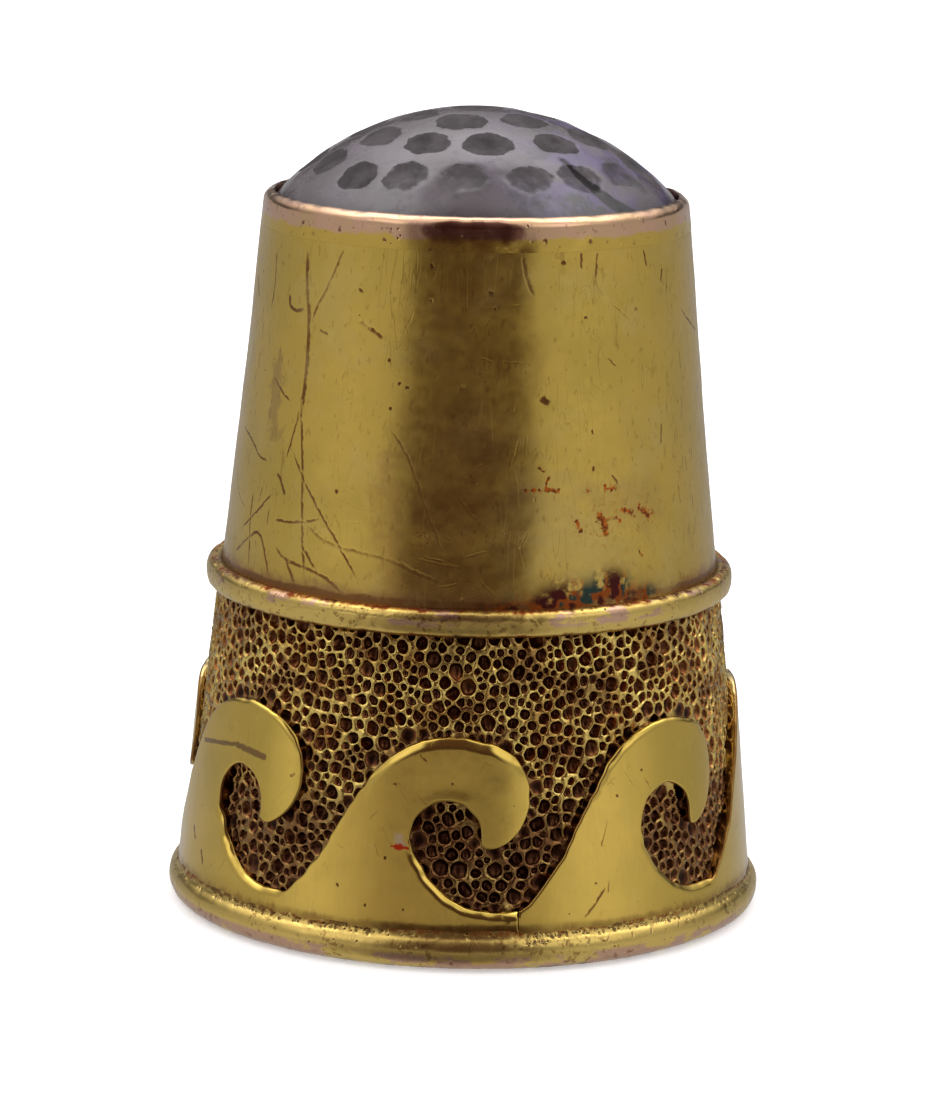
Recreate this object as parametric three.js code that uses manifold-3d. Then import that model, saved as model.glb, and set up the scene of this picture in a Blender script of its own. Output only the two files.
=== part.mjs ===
// Antique gold sewing thimble with a stone top, in millimetres, +Z up.
// The origin is on the axis at the level of the foot, and angles are measured
// from the front (-Y) towards +X.
import * as THREE from "three";
import { mergeVertices } from "three/addons/utils/BufferGeometryUtils.js";
import Module from "manifold-3d";

const wasm = await Module();
wasm.setup();

// Driving dimensions.
const SEGMENTS = 72; // facets round every turned metal piece
const STONE_SEGMENTS = 48;
const SOLDER = 0.02; // solder or cement film left between neighbouring pieces
const WALL = 0.42; // thickness of the sheet gold
const FOOT_RADIUS = 8.5; // outermost radius, at the foot bead
const FOOT_WIRE = 0.54; // section radius of the foot bead's wire
const FOOT_LEVEL = 0.515; // height of the foot bead's section centre
const FOOT_SEAT = 1.0; // flat on top of the foot bead that carries the band
const BAND_FOOT_RADIUS = 8.04; // punched band, outside, at BAND_REF
const BAND_REF = 1.05;
const BAND_TAPER = 0.1062; // loss of radius per mm of height
const JOINT = 9.42; // height where band and sleeve meet, under the upper bead
const LAP = 0.8; // height of the half-lap between band and sleeve
const TONGUE = 0.2; // thickness of each tongue of the half-lap
const BEAD_WIRE = 0.4; // section radius of the upper bead
const BEAD_RADIUS = 7.1; // radius of its section centre
const SLEEVE_TOP = 19.38;
const SLEEVE_REF = 18.95; // height where the sleeve is SLEEVE_RADIUS
const SLEEVE_RADIUS = 6.11;
const SLEEVE_TAPER = 0.092;
const SLEEVE_FLARE = 0.00134; // extra flare, times height below SLEEVE_REF squared
const STRIP_FOOT = 1.03; // lower edge of the wave frieze
const STRIP_FOOT_RADIUS = 8.25; // frieze face at BAND_REF
const STRIP_TAPER = 0.093;
const DEVELOP = 7.9; // radius on which the wave outline is drawn flat
const CREST = 6.37; // height of the wave crests
const VALLEY = 1.6; // bottom of the notches between waves
const CURLS = [-46, 2.5, 50.8, 103.4, 156.1, 208.7, 261.4]; // curl centres, degrees
const RISES = [0.26, 0, 0.1, 0, 0, 0, 0]; // how far each hand-cut wave tops CREST
const STRIP_SEAM = 0.06; // butt seam where the strip's ends meet
const SEAT_INNER = 4.95; // open radius inside the stone seat
const SEAT_LEVEL = 18.85;
const STONE_TOP = 22.7;
const STONE_SPHERE = 7.55; // radius of the domed face
const STONE_GIRDLE = 5.78;
const STONE_BASE = 19.52;
const COLLAR_RADIUS = 6.09;
const COLLAR_LIP = 20.31; // top of the rubbed-over lip
const DIMPLE = 0.66; // half width of a dimple in the stone
const DIMPLE_DEPTH = 0.15;
const DIMPLE_RINGS = [
  { count: 1, polar: 0, first: 0 },
  { count: 6, polar: 12.8, first: -16 },
  { count: 11, polar: 24.5, first: 7.4 },
  { count: 19, polar: 36.5, first: -3.5 },
];

const rad = THREE.MathUtils.degToRad;
const v2 = (x, y) => new THREE.Vector2(x, y);

// Outside radii of the walls at a height.
const bandRadius = (z) => BAND_FOOT_RADIUS - BAND_TAPER * (z - BAND_REF);
const stripRadius = (z) => STRIP_FOOT_RADIUS - STRIP_TAPER * (z - BAND_REF);

function sleeveRadius(z) {
  const below = SLEEVE_REF - z;
  return SLEEVE_RADIUS + SLEEVE_TAPER * below + SLEEVE_FLARE * below * below;
}

// Points along an arc, from one angle to another in degrees.
function arc(cx, cy, from, to, steps, r0, r1 = r0) {
  return Array.from({ length: steps + 1 }, (_, i) => {
    const t = i / steps;
    const a = rad(from + (to - from) * t);
    const r = r0 + (r1 - r0) * t;
    return v2(cx + r * Math.cos(a), cy + r * Math.sin(a));
  });
}

// Turns a closed outline of (radius, height) points about the Z axis.
function turned(outline) {
  const ring = new THREE.LatheGeometry([...outline, outline[0]], SEGMENTS);
  return ring.rotateX(Math.PI / 2);
}

// A closed geometry as a manifold solid, and back.
function toSolid(geometry) {
  const bare = geometry.clone();
  bare.deleteAttribute("normal");
  bare.deleteAttribute("uv");
  const merged = mergeVertices(bare, 1e-4);
  return new wasm.Manifold(
    new wasm.Mesh({
      numProp: 3,
      vertProperties: merged.attributes.position.array,
      triVerts: new Uint32Array(merged.index.array),
    }),
  );
}

function fromSolid(solid) {
  const mesh = solid.getMesh();
  const geometry = new THREE.BufferGeometry();
  const positions = new THREE.BufferAttribute(mesh.vertProperties, mesh.numProp);
  geometry.setAttribute("position", positions);
  geometry.setIndex(new THREE.BufferAttribute(mesh.triVerts, 1));
  geometry.computeVertexNormals();
  return geometry;
}

// Round wire at the finger's opening, flat underneath and where the band stands.
function footBead() {
  const centre = FOOT_RADIUS - FOOT_WIRE;
  const under = THREE.MathUtils.radToDeg(Math.asin(FOOT_LEVEL / FOOT_WIRE));
  const over = FOOT_SEAT - FOOT_LEVEL;
  const top = THREE.MathUtils.radToDeg(Math.asin(over / FOOT_WIRE));
  return turned([
    ...arc(centre, FOOT_LEVEL, -under, top, 7, FOOT_WIRE),
    ...arc(centre, FOOT_LEVEL, 180 - top, 180 + under, 4, FOOT_WIRE),
  ]);
}

// Lower wall, whose punched outside is the ground behind the waves. Its upper
// end is the outer half of a lap joint.
function stippledBand() {
  const foot = FOOT_SEAT + SOLDER;
  const step = JOINT - LAP - SOLDER;
  return turned([
    v2(bandRadius(foot), foot),
    v2(bandRadius(JOINT), JOINT),
    v2(bandRadius(JOINT) - WALL + TONGUE + SOLDER, JOINT),
    v2(bandRadius(step) - WALL + TONGUE + SOLDER, step),
    v2(bandRadius(step) - WALL, step),
    v2(bandRadius(foot) - WALL, foot),
  ]);
}

// Upper wall, slightly flared towards the joint.
function bodySleeve() {
  const foot = JOINT + SOLDER;
  const lap = JOINT - LAP;
  const rise = SLEEVE_TOP - foot;
  const heights = [0, 0.33, 0.66, 1].map((t) => foot + rise * t);
  return turned([
    ...heights.map((z) => v2(sleeveRadius(z), z)),
    ...heights.reverse().map((z) => v2(sleeveRadius(z) - WALL, z)),
    v2(bandRadius(lap) - WALL, lap),
    v2(bandRadius(lap) - WALL + TONGUE, lap),
    v2(bandRadius(foot) - WALL + TONGUE, foot),
  ]);
}

// Half-round wire soldered over the joint.
function upperBead() {
  return turned(arc(BEAD_RADIUS, JOINT, -73, 92, 6, BEAD_WIRE));
}

// One wave's back, from its left notch up to the crest. The drawing plane has
// its origin under the curl's centre, and stretch widens the flank.
function waveBack(stretch) {
  const flank = new THREE.SplineCurve([
    v2(-5.47, VALLEY),
    v2(-5.1, 1.9),
    v2(-4.28, 2.97),
    v2(-3.84, 3.8),
    v2(-3.1, 4.985),
  ]);
  const points = [
    ...flank.getPoints(6),
    ...arc(-0.7, 3.6, 142, 90, 5, 2.77),
  ];
  return points.map((p) => v2(-0.7 + (p.x + 0.7) * stretch, p.y));
}

// One wave's front, from the crest round the curl and its eye to the notch.
function waveFront() {
  return [
    ...arc(-0.7, 3.6, 84, 76, 1, 2.77),
    ...arc(0, 4.75, 80, -71, 10, 1.5),
    v2(0.24, 3.32),
    v2(0.12, 3.42),
    ...arc(-0.73, 3.68, 2, 206, 10, 0.85, 1.09),
    ...arc(0.55, 3.9, 212, 276, 5, 2.3),
  ];
}

// A wave's points stretched upwards from its notches.
function lifted(points, rise) {
  const grow = 1 + rise / (CREST - VALLEY);
  return points.map((p) => v2(p.x, VALLEY + (p.y - VALLEY) * grow));
}

// Outline cut away between one crest and the next, as (angle, height) points.
function gapOutline(index) {
  const after = (index + 1) % CURLS.length;
  const here = CURLS[index];
  const next = CURLS[after];
  const span = rad(((next - here + 360) % 360) || 360) * DEVELOP;
  const stretch = (span - 1.2 - 0.7) / (5.47 - 0.7);
  const front = lifted(waveFront(), RISES[index]);
  const back = lifted(waveBack(stretch), RISES[after]);
  const over = CREST + 0.9;
  const drawn = [
    v2(-0.75, over),
    v2(-0.75, CREST + RISES[index] + 0.004),
    ...front,
    ...back.map((p) => v2(p.x + span, p.y)),
    v2(span - 0.65, CREST + RISES[after] + 0.004),
    v2(span - 0.65, over),
  ];
  return drawn.map((p) => v2(rad(here) + p.x / DEVELOP, p.y));
}

// A solid with radial walls through the strip on a given outline.
function radialCutter(outline, inner, outer) {
  const shape = new THREE.Shape(outline);
  const block = new THREE.ExtrudeGeometry(shape, {
    depth: 1,
    bevelEnabled: false,
    curveSegments: 1,
  });
  const p = block.attributes.position;
  for (let i = 0; i < p.count; i += 1) {
    const angle = p.getX(i);
    const z = p.getY(i);
    const r = p.getZ(i) > 0.5 ? outer : inner;
    p.setXYZ(i, r * Math.sin(angle), -r * Math.cos(angle), z);
  }
  return toSolid(block);
}

// Pierced strip of running waves, laid round the band and butted at one notch.
function waveFrieze() {
  const top = CREST + Math.max(...RISES) - 0.01;
  let strip = toSolid(
    turned([
      v2(stripRadius(STRIP_FOOT), STRIP_FOOT),
      v2(stripRadius(top), top),
      v2(bandRadius(top) + SOLDER, top),
      v2(bandRadius(STRIP_FOOT) + SOLDER, STRIP_FOOT),
    ]),
  );
  CURLS.forEach((_, index) => {
    strip = strip.subtract(radialCutter(gapOutline(index), 6, 10));
  });
  const seam = rad(CURLS[1]) + 1.15 / DEVELOP;
  const half = STRIP_SEAM / 2 / DEVELOP;
  const slit = [
    v2(seam - half, 0.5),
    v2(seam + half, 0.5),
    v2(seam + half, VALLEY + 0.3),
    v2(seam - half, VALLEY + 0.3),
  ];
  return fromSolid(strip.subtract(radialCutter(slit, 6, 10)));
}

// Ledge inside the sleeve's top that the stone is bedded on.
function stoneSeat() {
  const fit = (z) => sleeveRadius(z) - WALL - SOLDER;
  return turned([
    v2(fit(SEAT_LEVEL), SEAT_LEVEL),
    v2(fit(SLEEVE_TOP), SLEEVE_TOP),
    v2(SEAT_INNER, SLEEVE_TOP),
    v2(SEAT_INNER, SEAT_LEVEL + 0.15),
    v2(SEAT_INNER + 0.15, SEAT_LEVEL),
  ]);
}

// Thin ring of setting cement between the ledge and the stone.
function cementBed() {
  const low = SLEEVE_TOP + SOLDER;
  const high = STONE_BASE - SOLDER;
  return turned([
    v2(STONE_GIRDLE, low),
    v2(STONE_GIRDLE, high),
    v2(SEAT_INNER + 0.05, high),
    v2(SEAT_INNER + 0.05, low),
  ]);
}

// Height of the stone's polished dome at a radius.
function domeHeight(r) {
  return STONE_TOP - STONE_SPHERE + Math.sqrt(STONE_SPHERE ** 2 - r * r);
}

// Collar soldered on the sleeve, its lip rubbed over the stone's edge.
function bezelCollar() {
  const inner = STONE_GIRDLE + 2 * SOLDER;
  const low = SLEEVE_TOP + SOLDER;
  const shoulder = 0.36;
  const bend = COLLAR_LIP - shoulder;
  return turned([
    v2(inner, low),
    v2(COLLAR_RADIUS, low),
    ...arc(COLLAR_RADIUS - shoulder, bend, 0, 84, 4, shoulder),
    v2(5.66, domeHeight(5.66) + 0.09),
    v2(5.65, domeHeight(5.65) + SOLDER),
    v2(inner, domeHeight(STONE_GIRDLE) + SOLDER),
  ]);
}

// A shallow ball-shaped cutter that touches the dome along a dimple's edge.
function dimpleCutter(polar, azimuth) {
  const ball = (DIMPLE * DIMPLE + DIMPLE_DEPTH ** 2) / (2 * DIMPLE_DEPTH);
  const reach = (1.15 * Math.asin(DIMPLE / ball) * 180) / Math.PI;
  const bowl = arc(0, ball, -90, -90 + reach, 2, ball);
  const cutter = new THREE.LatheGeometry(
    [...bowl, v2(0, bowl[bowl.length - 1].y)],
    10,
  );
  const sag = STONE_SPHERE - Math.sqrt(STONE_SPHERE ** 2 - DIMPLE ** 2);
  cutter.translate(0, STONE_SPHERE - sag - DIMPLE_DEPTH, 0);
  cutter.rotateX(Math.PI / 2);
  cutter.rotateX(rad(polar));
  cutter.rotateZ(rad(azimuth));
  cutter.translate(0, 0, STONE_TOP - STONE_SPHERE);
  return toSolid(cutter);
}

// Domed stone with a flat bedded base and rings of ground dimples.
function amethystDome() {
  const girdle = domeHeight(STONE_GIRDLE);
  const edge = (Math.asin(STONE_GIRDLE / STONE_SPHERE) * 180) / Math.PI;
  const face = arc(0, STONE_TOP - STONE_SPHERE, 90 - edge, 90, 7, STONE_SPHERE);
  face[face.length - 1].x = 0;
  const profile = [
    v2(0, STONE_BASE),
    v2(STONE_GIRDLE - 0.12, STONE_BASE),
    v2(STONE_GIRDLE, STONE_BASE + 0.12),
    v2(STONE_GIRDLE, girdle),
    ...face.slice(1),
  ];
  const dome = new THREE.LatheGeometry(profile, STONE_SEGMENTS).rotateX(Math.PI / 2);
  let stone = toSolid(dome);
  for (const ring of DIMPLE_RINGS) {
    for (let k = 0; k < ring.count; k += 1) {
      const azimuth = ring.first + (360 / ring.count) * k;
      stone = stone.subtract(dimpleCutter(ring.polar, azimuth));
    }
  }
  return fromSolid(stone);
}

const yellowGold = { color: 0xb9953f, roughness: 0.3, metalness: 1 };
const punchedGold = { color: 0x8a6a2c, roughness: 0.5, metalness: 1 };
const roseGold = { color: 0xcf8f68, roughness: 0.25, metalness: 1 };
const amethyst = { color: 0x4f4650, roughness: 0.08, metalness: 0 };
const cement = { color: 0x6f6456, roughness: 0.9, metalness: 0 };

const thimble = new THREE.Group();

function addPiece(name, geometry, look) {
  const material = new THREE.MeshStandardMaterial(look);
  const mesh = new THREE.Mesh(geometry, material);
  mesh.name = name;
  thimble.add(mesh);
}

addPiece("foot_bead", footBead(), yellowGold);
addPiece("stippled_band", stippledBand(), punchedGold);
addPiece("wave_frieze", waveFrieze(), yellowGold);
addPiece("upper_bead", upperBead(), yellowGold);
addPiece("body_sleeve", bodySleeve(), yellowGold);
addPiece("stone_seat", stoneSeat(), yellowGold);
addPiece("cement_bed", cementBed(), cement);
addPiece("bezel_collar", bezelCollar(), roseGold);
addPiece("amethyst_dome", amethystDome(), amethyst);

export default thimble;
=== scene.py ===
"""Antique gold thimble with a stone top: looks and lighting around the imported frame.

Lengths are in millimetres until a mesh is made. Angles run round the axis from
the front (-Y) towards +X. A wall is drawn flat as (s, v): s runs round it and v up
along its outside.
"""

import math
import random

import bpy
import numpy as np
from mathutils import Matrix, Vector
from mathutils.geometry import delaunay_2d_cdt
from mathutils.kdtree import KDTree

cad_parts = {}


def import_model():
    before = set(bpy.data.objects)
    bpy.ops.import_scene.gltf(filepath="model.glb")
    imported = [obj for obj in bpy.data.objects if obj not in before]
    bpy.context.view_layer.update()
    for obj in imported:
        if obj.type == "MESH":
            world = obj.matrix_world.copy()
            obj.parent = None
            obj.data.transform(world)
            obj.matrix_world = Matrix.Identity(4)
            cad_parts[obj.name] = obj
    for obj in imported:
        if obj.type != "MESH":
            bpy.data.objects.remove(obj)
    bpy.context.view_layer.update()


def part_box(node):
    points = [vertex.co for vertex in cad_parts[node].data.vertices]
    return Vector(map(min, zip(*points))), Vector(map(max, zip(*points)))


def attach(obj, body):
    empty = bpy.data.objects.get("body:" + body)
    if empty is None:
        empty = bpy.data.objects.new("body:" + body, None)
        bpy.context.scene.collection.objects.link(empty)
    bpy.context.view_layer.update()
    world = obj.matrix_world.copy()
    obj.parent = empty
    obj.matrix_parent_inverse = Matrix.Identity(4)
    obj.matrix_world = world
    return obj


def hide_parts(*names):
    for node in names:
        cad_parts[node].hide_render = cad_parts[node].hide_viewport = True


MM = 0.001
TURN = 2 * math.pi
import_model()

# ---------------------------------------------------------------- camera
PITCH = math.radians(11.54)
ROLL = math.radians(1.174)
CAMERA_AT = Vector((0.0, -125.9, 35.71)) * MM
LENS = 147.2
SHIFT = 0.0058


def make_camera():
    data = bpy.data.cameras.new("camera")
    data.lens = LENS
    data.sensor_width = 36.0
    data.shift_x = SHIFT
    data.clip_start = 0.001
    data.clip_end = 20.0
    camera = bpy.data.objects.new("camera", data)
    bpy.context.scene.collection.objects.link(camera)
    ahead = Vector((0, math.cos(PITCH), -math.sin(PITCH)))
    up0 = Vector((0, math.sin(PITCH), math.cos(PITCH)))
    right0 = Vector((1, 0, 0))
    up = up0 * math.cos(ROLL) - right0 * math.sin(ROLL)
    right = right0 * math.cos(ROLL) + up0 * math.sin(ROLL)
    turn = Matrix((right, up, -ahead)).transposed()
    camera.matrix_world = Matrix.Translation(CAMERA_AT) @ turn.to_4x4()
    bpy.context.scene.camera = camera


make_camera()


# ------------------------------------------------- sizes, from the CAD frame
def span(node):
    low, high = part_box(node)
    return low / MM, high / MM


_, FOOT_HIGH = span("foot_bead")
STRIP_LOW, _ = span("wave_frieze")
BEAD_LOW, BEAD_HIGH = span("upper_bead")
SLEEVE_LOW, SLEEVE_HIGH = span("body_sleeve")
_, COLLAR_HIGH = span("bezel_collar")
STONE_LOW, STONE_HIGH = span("amethyst_dome")
SEAT_LOW, SEAT_HIGH = span("stone_seat")
CEMENT_LOW, CEMENT_HIGH = span("cement_bed")

WALL = 0.42
DEVELOP = 7.9
JOINT = (BEAD_LOW.z + BEAD_HIGH.z) / 2
BEAD_HALF = (BEAD_HIGH.z - BEAD_LOW.z) / 2
FOOT_RADIUS = FOOT_HIGH.x
CREST = 6.37
STONE_TOP = 22.69
STONE_SPHERE = 7.55
STONE_GIRDLE = STONE_HIGH.x - 0.02
STONE_CENTRE = STONE_TOP - STONE_SPHERE
# Radii on which soft marks of the sleeve and the collar are measured.
SLEEVE_MIDDLE = 6.7
COLLAR_MIDDLE = 5.9


def band_radius(z):
    return 8.03 - 0.1062 * (z - 1.05)


def strip_radius(z):
    return 8.23 - 0.093 * (z - 1.05)


def sleeve_radius(z):
    below = 18.95 - z
    return 6.1 + 0.092 * below + 0.00134 * below * below


def dome_height(r):
    return STONE_CENTRE + np.sqrt(STONE_SPHERE**2 - r * r)


# ---------------------------------------------------------------- line tools
INDEX, GAP = 1, 2


def smooth(edge0, edge1, x):
    t = np.clip((x - edge0) / (edge1 - edge0), 0, 1)
    return t * t * (3 - 2 * t)


def waviness(theta, z, seed, wave_mm, waves=24, radius=7.5):
    """Smooth noise of about unit size, periodic round the axis."""
    r = np.random.default_rng(seed)
    total = np.zeros(np.broadcast(theta, z).shape)
    for _ in range(waves):
        k = r.normal(0, 1 / wave_mm, 2)
        n = round(k[0] * radius * TURN)
        total += np.cos(n * theta + k[1] * TURN * z + r.uniform(0, TURN))
    return total / math.sqrt(waves / 2)


def resample(outline, step):
    """Points at about equal steps along an open outline."""
    outline = np.asarray(outline, float)
    lengths = np.hypot(*np.diff(outline, axis=0).T)
    along = np.concatenate([[0], np.cumsum(lengths)])
    count = max(2, int(round(along[-1] / step)) + 1)
    at = np.linspace(0, along[-1], count)
    return np.stack([np.interp(at, along, outline[:, k]) for k in (0, 1)], -1)


def arc(cx, cy, start, end, steps, r0, r1=None):
    r1 = r0 if r1 is None else r1
    a = np.radians(np.linspace(start, end, steps + 1))
    r = np.linspace(r0, r1, steps + 1)
    return np.stack([cx + r * np.cos(a), cy + r * np.sin(a)], -1)


def smooth_line(points, steps):
    """Catmull-Rom curve through a few points."""
    p = np.asarray(points, float)
    p = np.concatenate([[2 * p[0] - p[1]], p, [2 * p[-1] - p[-2]]])
    out = []
    for i in range(1, len(p) - 2):
        t = np.linspace(0, 1, steps, endpoint=False)[:, None]
        out.append(
            0.5
            * (
                2 * p[i]
                + (p[i + 1] - p[i - 1]) * t
                + (2 * p[i - 1] - 5 * p[i] + 4 * p[i + 1] - p[i + 2]) * t**2
                + (3 * p[i] - 3 * p[i + 1] + p[i + 2] - p[i - 1]) * t**3
            )
        )
    out.append(p[-2:-1])
    return np.concatenate(out)


def nearest(points, others, wanted=GAP):
    """For each point the gap to the nearest of some other points, or its index."""
    tree = KDTree(len(others))
    for i, (a, b) in enumerate(np.asarray(others, float).tolist()):
        tree.insert((a, b, 0), i)
    tree.balance()
    found = [tree.find((a, b, 0))[wanted] for a, b in np.asarray(points, float).tolist()]
    return np.array(found)


def loop_tangent(line, least=1e-12):
    """Unit tangents along a closed line."""
    tangent = np.roll(line, -1, 0) - np.roll(line, 1, 0)
    return tangent / (np.linalg.norm(tangent, axis=1)[:, None] + least)


def arc_length(radius):
    """A function from an angle in degrees to the length round a wall of this radius."""
    return lambda angle: math.radians(angle) * radius


def distance_to(points, line):
    """Distance from each point to a closed polyline."""
    a = line
    b = np.roll(line, -1, 0)
    ab = b - a
    size = (ab * ab).sum(-1) + 1e-12
    best = np.full(len(points), 1e9)
    close = nearest(points, line)
    order = np.argsort(points[:, 0])
    xs = line[:, 0]
    reach = np.abs(ab[:, 0]).max()
    for start in range(0, len(points), 400):
        rows = order[start : start + 400]
        p = points[rows]
        far = close[rows].max() + reach
        near = (xs > p[:, 0].min() - far) & (xs < p[:, 0].max() + far)
        q = p[:, None, :] - a[near]
        t = np.clip((q * ab[near]).sum(-1) / size[near], 0, 1)
        d = np.linalg.norm(q - t[..., None] * ab[near], axis=-1)
        best[rows] = d.min(1)
    return best


def inside(points, line):
    """True where a point lies in a closed polyline."""
    ax, ay = line[:, 0], line[:, 1]
    bx, by = np.roll(ax, -1), np.roll(ay, -1)
    result = np.zeros(len(points), bool)
    for start in range(0, len(points), 4000):
        xs, ys = points[start : start + 4000].T[:, :, None]
        spans = (ay > ys) != (by > ys)
        cross = ax + (ys - ay) * (bx - ax) / (by - ay + 1e-12)
        result[start : start + 4000] = (spans & (xs < cross)).sum(1) % 2 == 1
    return result


# ---------------------------------------------------------------- mesh tools
def piece(name, points, faces, layers=None):
    """A shaded mesh piece of the object from points in millimetres."""
    mesh = bpy.data.meshes.new(name)
    mesh.from_pydata((np.asarray(points) * MM).tolist(), [], faces)
    mesh.polygons.foreach_set("use_smooth", [True] * len(mesh.polygons))
    for layer, values in (layers or {}).items():
        attribute = mesh.attributes.new(layer, "FLOAT", "POINT")
        attribute.data.foreach_set("value", np.asarray(values, np.float32).ravel())
    mesh.update()
    made = bpy.data.objects.new(name, mesh)
    bpy.context.scene.collection.objects.link(made)
    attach(made, "root")
    return made


def round_axis(radius, theta, z):
    return np.stack(
        [radius * np.sin(theta), -radius * np.cos(theta), z * np.ones_like(radius)], -1
    )


def ring_faces(rings, columns):
    """Quads between rings of vertices, each given by its first index."""
    j = np.arange(columns)
    k = (j + 1) % columns
    quads = [
        np.stack([a + j, a + k, b + k, b + j], -1) for a, b in zip(rings[:-1], rings[1:])
    ]
    return np.concatenate(quads).tolist()


def turned(name, section, columns, relief=None):
    """A piece turned about the axis. section is a closed (radius, height) loop that
    goes up on the outside; relief(theta, radius, z) moves it along its normal."""
    section = np.asarray(section, float)
    tangent = loop_tangent(section, 1e-9)
    theta = (np.arange(columns) * TURN / columns)[None, :]
    radius = np.repeat(section[:, :1], columns, 1)
    z = np.repeat(section[:, 1:], columns, 1)
    if relief is not None:
        lift = relief(theta, radius, z)
        radius = radius + lift * tangent[:, 1:]
        z = z - lift * tangent[:, :1]
    points = round_axis(radius, theta, z).reshape(-1, 3)
    rings = [i * columns for i in range(len(section))] + [0]
    return piece(name, points, ring_faces(rings, columns))


# Rings of points round a pit's middle: share of its size, of its depth, of its shade.
PIT_RINGS = ((1.9, 0.0, 0.0), (1.35, 0.0, 0.0), (1.0, 0.12, 0.25), (0.6, 0.9, 1.0))


class Marks:
    """Scratches and pits of a wall drawn flat, as points that say how far they lie
    above it and how dark they are."""

    STEP = 0.045

    def __init__(self, seed):
        self.rng = np.random.default_rng(seed)
        self.blocks = [np.zeros((0, 4))]

    def add(self, s, v, lift, dark=0.0):
        parts = np.broadcast_arrays(*(np.atleast_1d(k) for k in (s, v, lift, dark)))
        self.blocks.append(np.stack(parts, -1).astype(float))

    def stroke(self, points, width=0.05, depth=0.012, dark=0.8):
        """A scratch through a few points, deepest and darkest in its middle."""
        line = resample(smooth_line(points, 8), self.STEP)
        along = np.linspace(0, 1, len(line))
        length = self.STEP * len(line)
        phase = self.rng.uniform(0, TURN, 4)
        waves = (np.sin(along * length * k + p) for k, p in zip((5, 9, 17, 31), phase))
        ripple = sum(waves) / 2
        fade = smooth(0, 0.15, along + 0.03) * smooth(1, 0.8, along - 0.03)
        fade = fade * np.clip(0.85 + 0.18 * ripple, 0.55, 1.1)
        tangent = np.gradient(line, axis=0)
        tangent /= np.linalg.norm(tangent, axis=1)[:, None] + 1e-9
        normal = np.stack([-tangent[:, 1], tangent[:, 0]], -1)
        centre = line + normal * (0.012 * ripple)[:, None]
        half = (width / 2 * (0.55 + 0.45 * fade))[:, None]
        self.add(*centre.T, -depth * fade, dark * fade)
        for side in (-1, 1):
            if width > 0.055:
                flank = centre + side * 0.75 * half * normal
                self.add(*flank.T, -0.7 * depth * fade, dark * (0.9 * fade))
            self.add(*(centre + side * 1.45 * half * normal).T, 0.06 * depth * fade)
            self.add(*(centre + side * 2.5 * half * normal).T, 0.0)

    def light_stroke(self, line, width, depth, darkness=None):
        """A straight light scratch, left out where it would come near a dark mark."""
        rows = np.concatenate(self.blocks)
        rows = rows[rows[:, 3] > 0.2][:, :2]
        steps = resample(line, 0.1)
        if not len(rows) or np.hypot(*(steps[:, None] - rows).T).min() > 0.1:
            dark = self.rng.uniform(*darkness) if darkness else 0.0
            self.stroke(line, width, depth, dark)

    def pit(self, s, v, size=0.06, depth=0.03, dark=0.8):
        turn = self.rng.uniform(0, TURN)
        angle = turn + np.arange(8) * TURN / 8
        shape = size * (1 + self.rng.normal(0, 0.20, 8))
        shape *= 1 + self.rng.uniform(0, 0.35) * np.cos(2 * angle + self.rng.uniform(0, TURN))
        for share, fall, shade in PIT_RINGS:
            away = shape * share
            ring = (s + away * np.cos(angle), v + away * np.sin(angle))
            self.add(*ring, -depth * fall, dark * shade)
        self.add(s, v, -depth, dark)

    def scatter(self, count, low, high, size, depth, dark=0.7):
        """Pits anywhere between two corners."""
        for _ in range(count):
            s, v = self.rng.uniform(low, high)
            grow = self.rng.uniform(0.5, 1.4)
            self.pit(s, v, size * grow, depth * grow, dark * self.rng.uniform(0.4, 1.1))

    def table(self):
        """All points, without those that nearly fall together."""
        rows = np.concatenate(self.blocks)
        _, first = np.unique(np.round(rows[:, :2] / 0.012), axis=0, return_index=True)
        return rows[np.sort(first)]


def wrapped_faces(points, begin, around, links=()):
    """Delaunay triangles of points (s, v) on a wall that closes on itself in s.
    links are pairs of points that have to be joined."""
    margin = 1.0
    points = np.asarray(points, float)
    late = np.nonzero(points[:, 0] < begin + margin)[0]
    early = np.nonzero(points[:, 0] > begin + around - margin)[0]
    shift = np.array([around, 0.0])
    everything = np.concatenate([points, points[late] + shift, points[early] - shift])
    owner = np.concatenate([np.arange(len(points)), late, early])
    links = np.asarray(links, int).reshape(-1, 2)
    joined = [links]
    for chosen, first in ((late, len(points)), (early, len(points) + len(late))):
        place = np.full(len(points), -1)
        place[chosen] = first + np.arange(len(chosen))
        moved = place[links]
        joined.append(moved[(moved >= 0).all(1)])
    _, _, triangles, origin, _, _ = delaunay_2d_cdt(
        [Vector(p) for p in everything], np.concatenate(joined).tolist(), [], 0, 1e-6
    )
    source = np.array([o[0] if o else 0 for o in origin])
    triangles = source[np.array(triangles)]
    middle = everything[triangles][:, :, 0].mean(1)
    faces = owner[triangles[(middle >= begin) & (middle < begin + around)]]
    whole = (faces != np.roll(faces, 1, 1)).all(1)
    return faces[whole].tolist()


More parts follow.
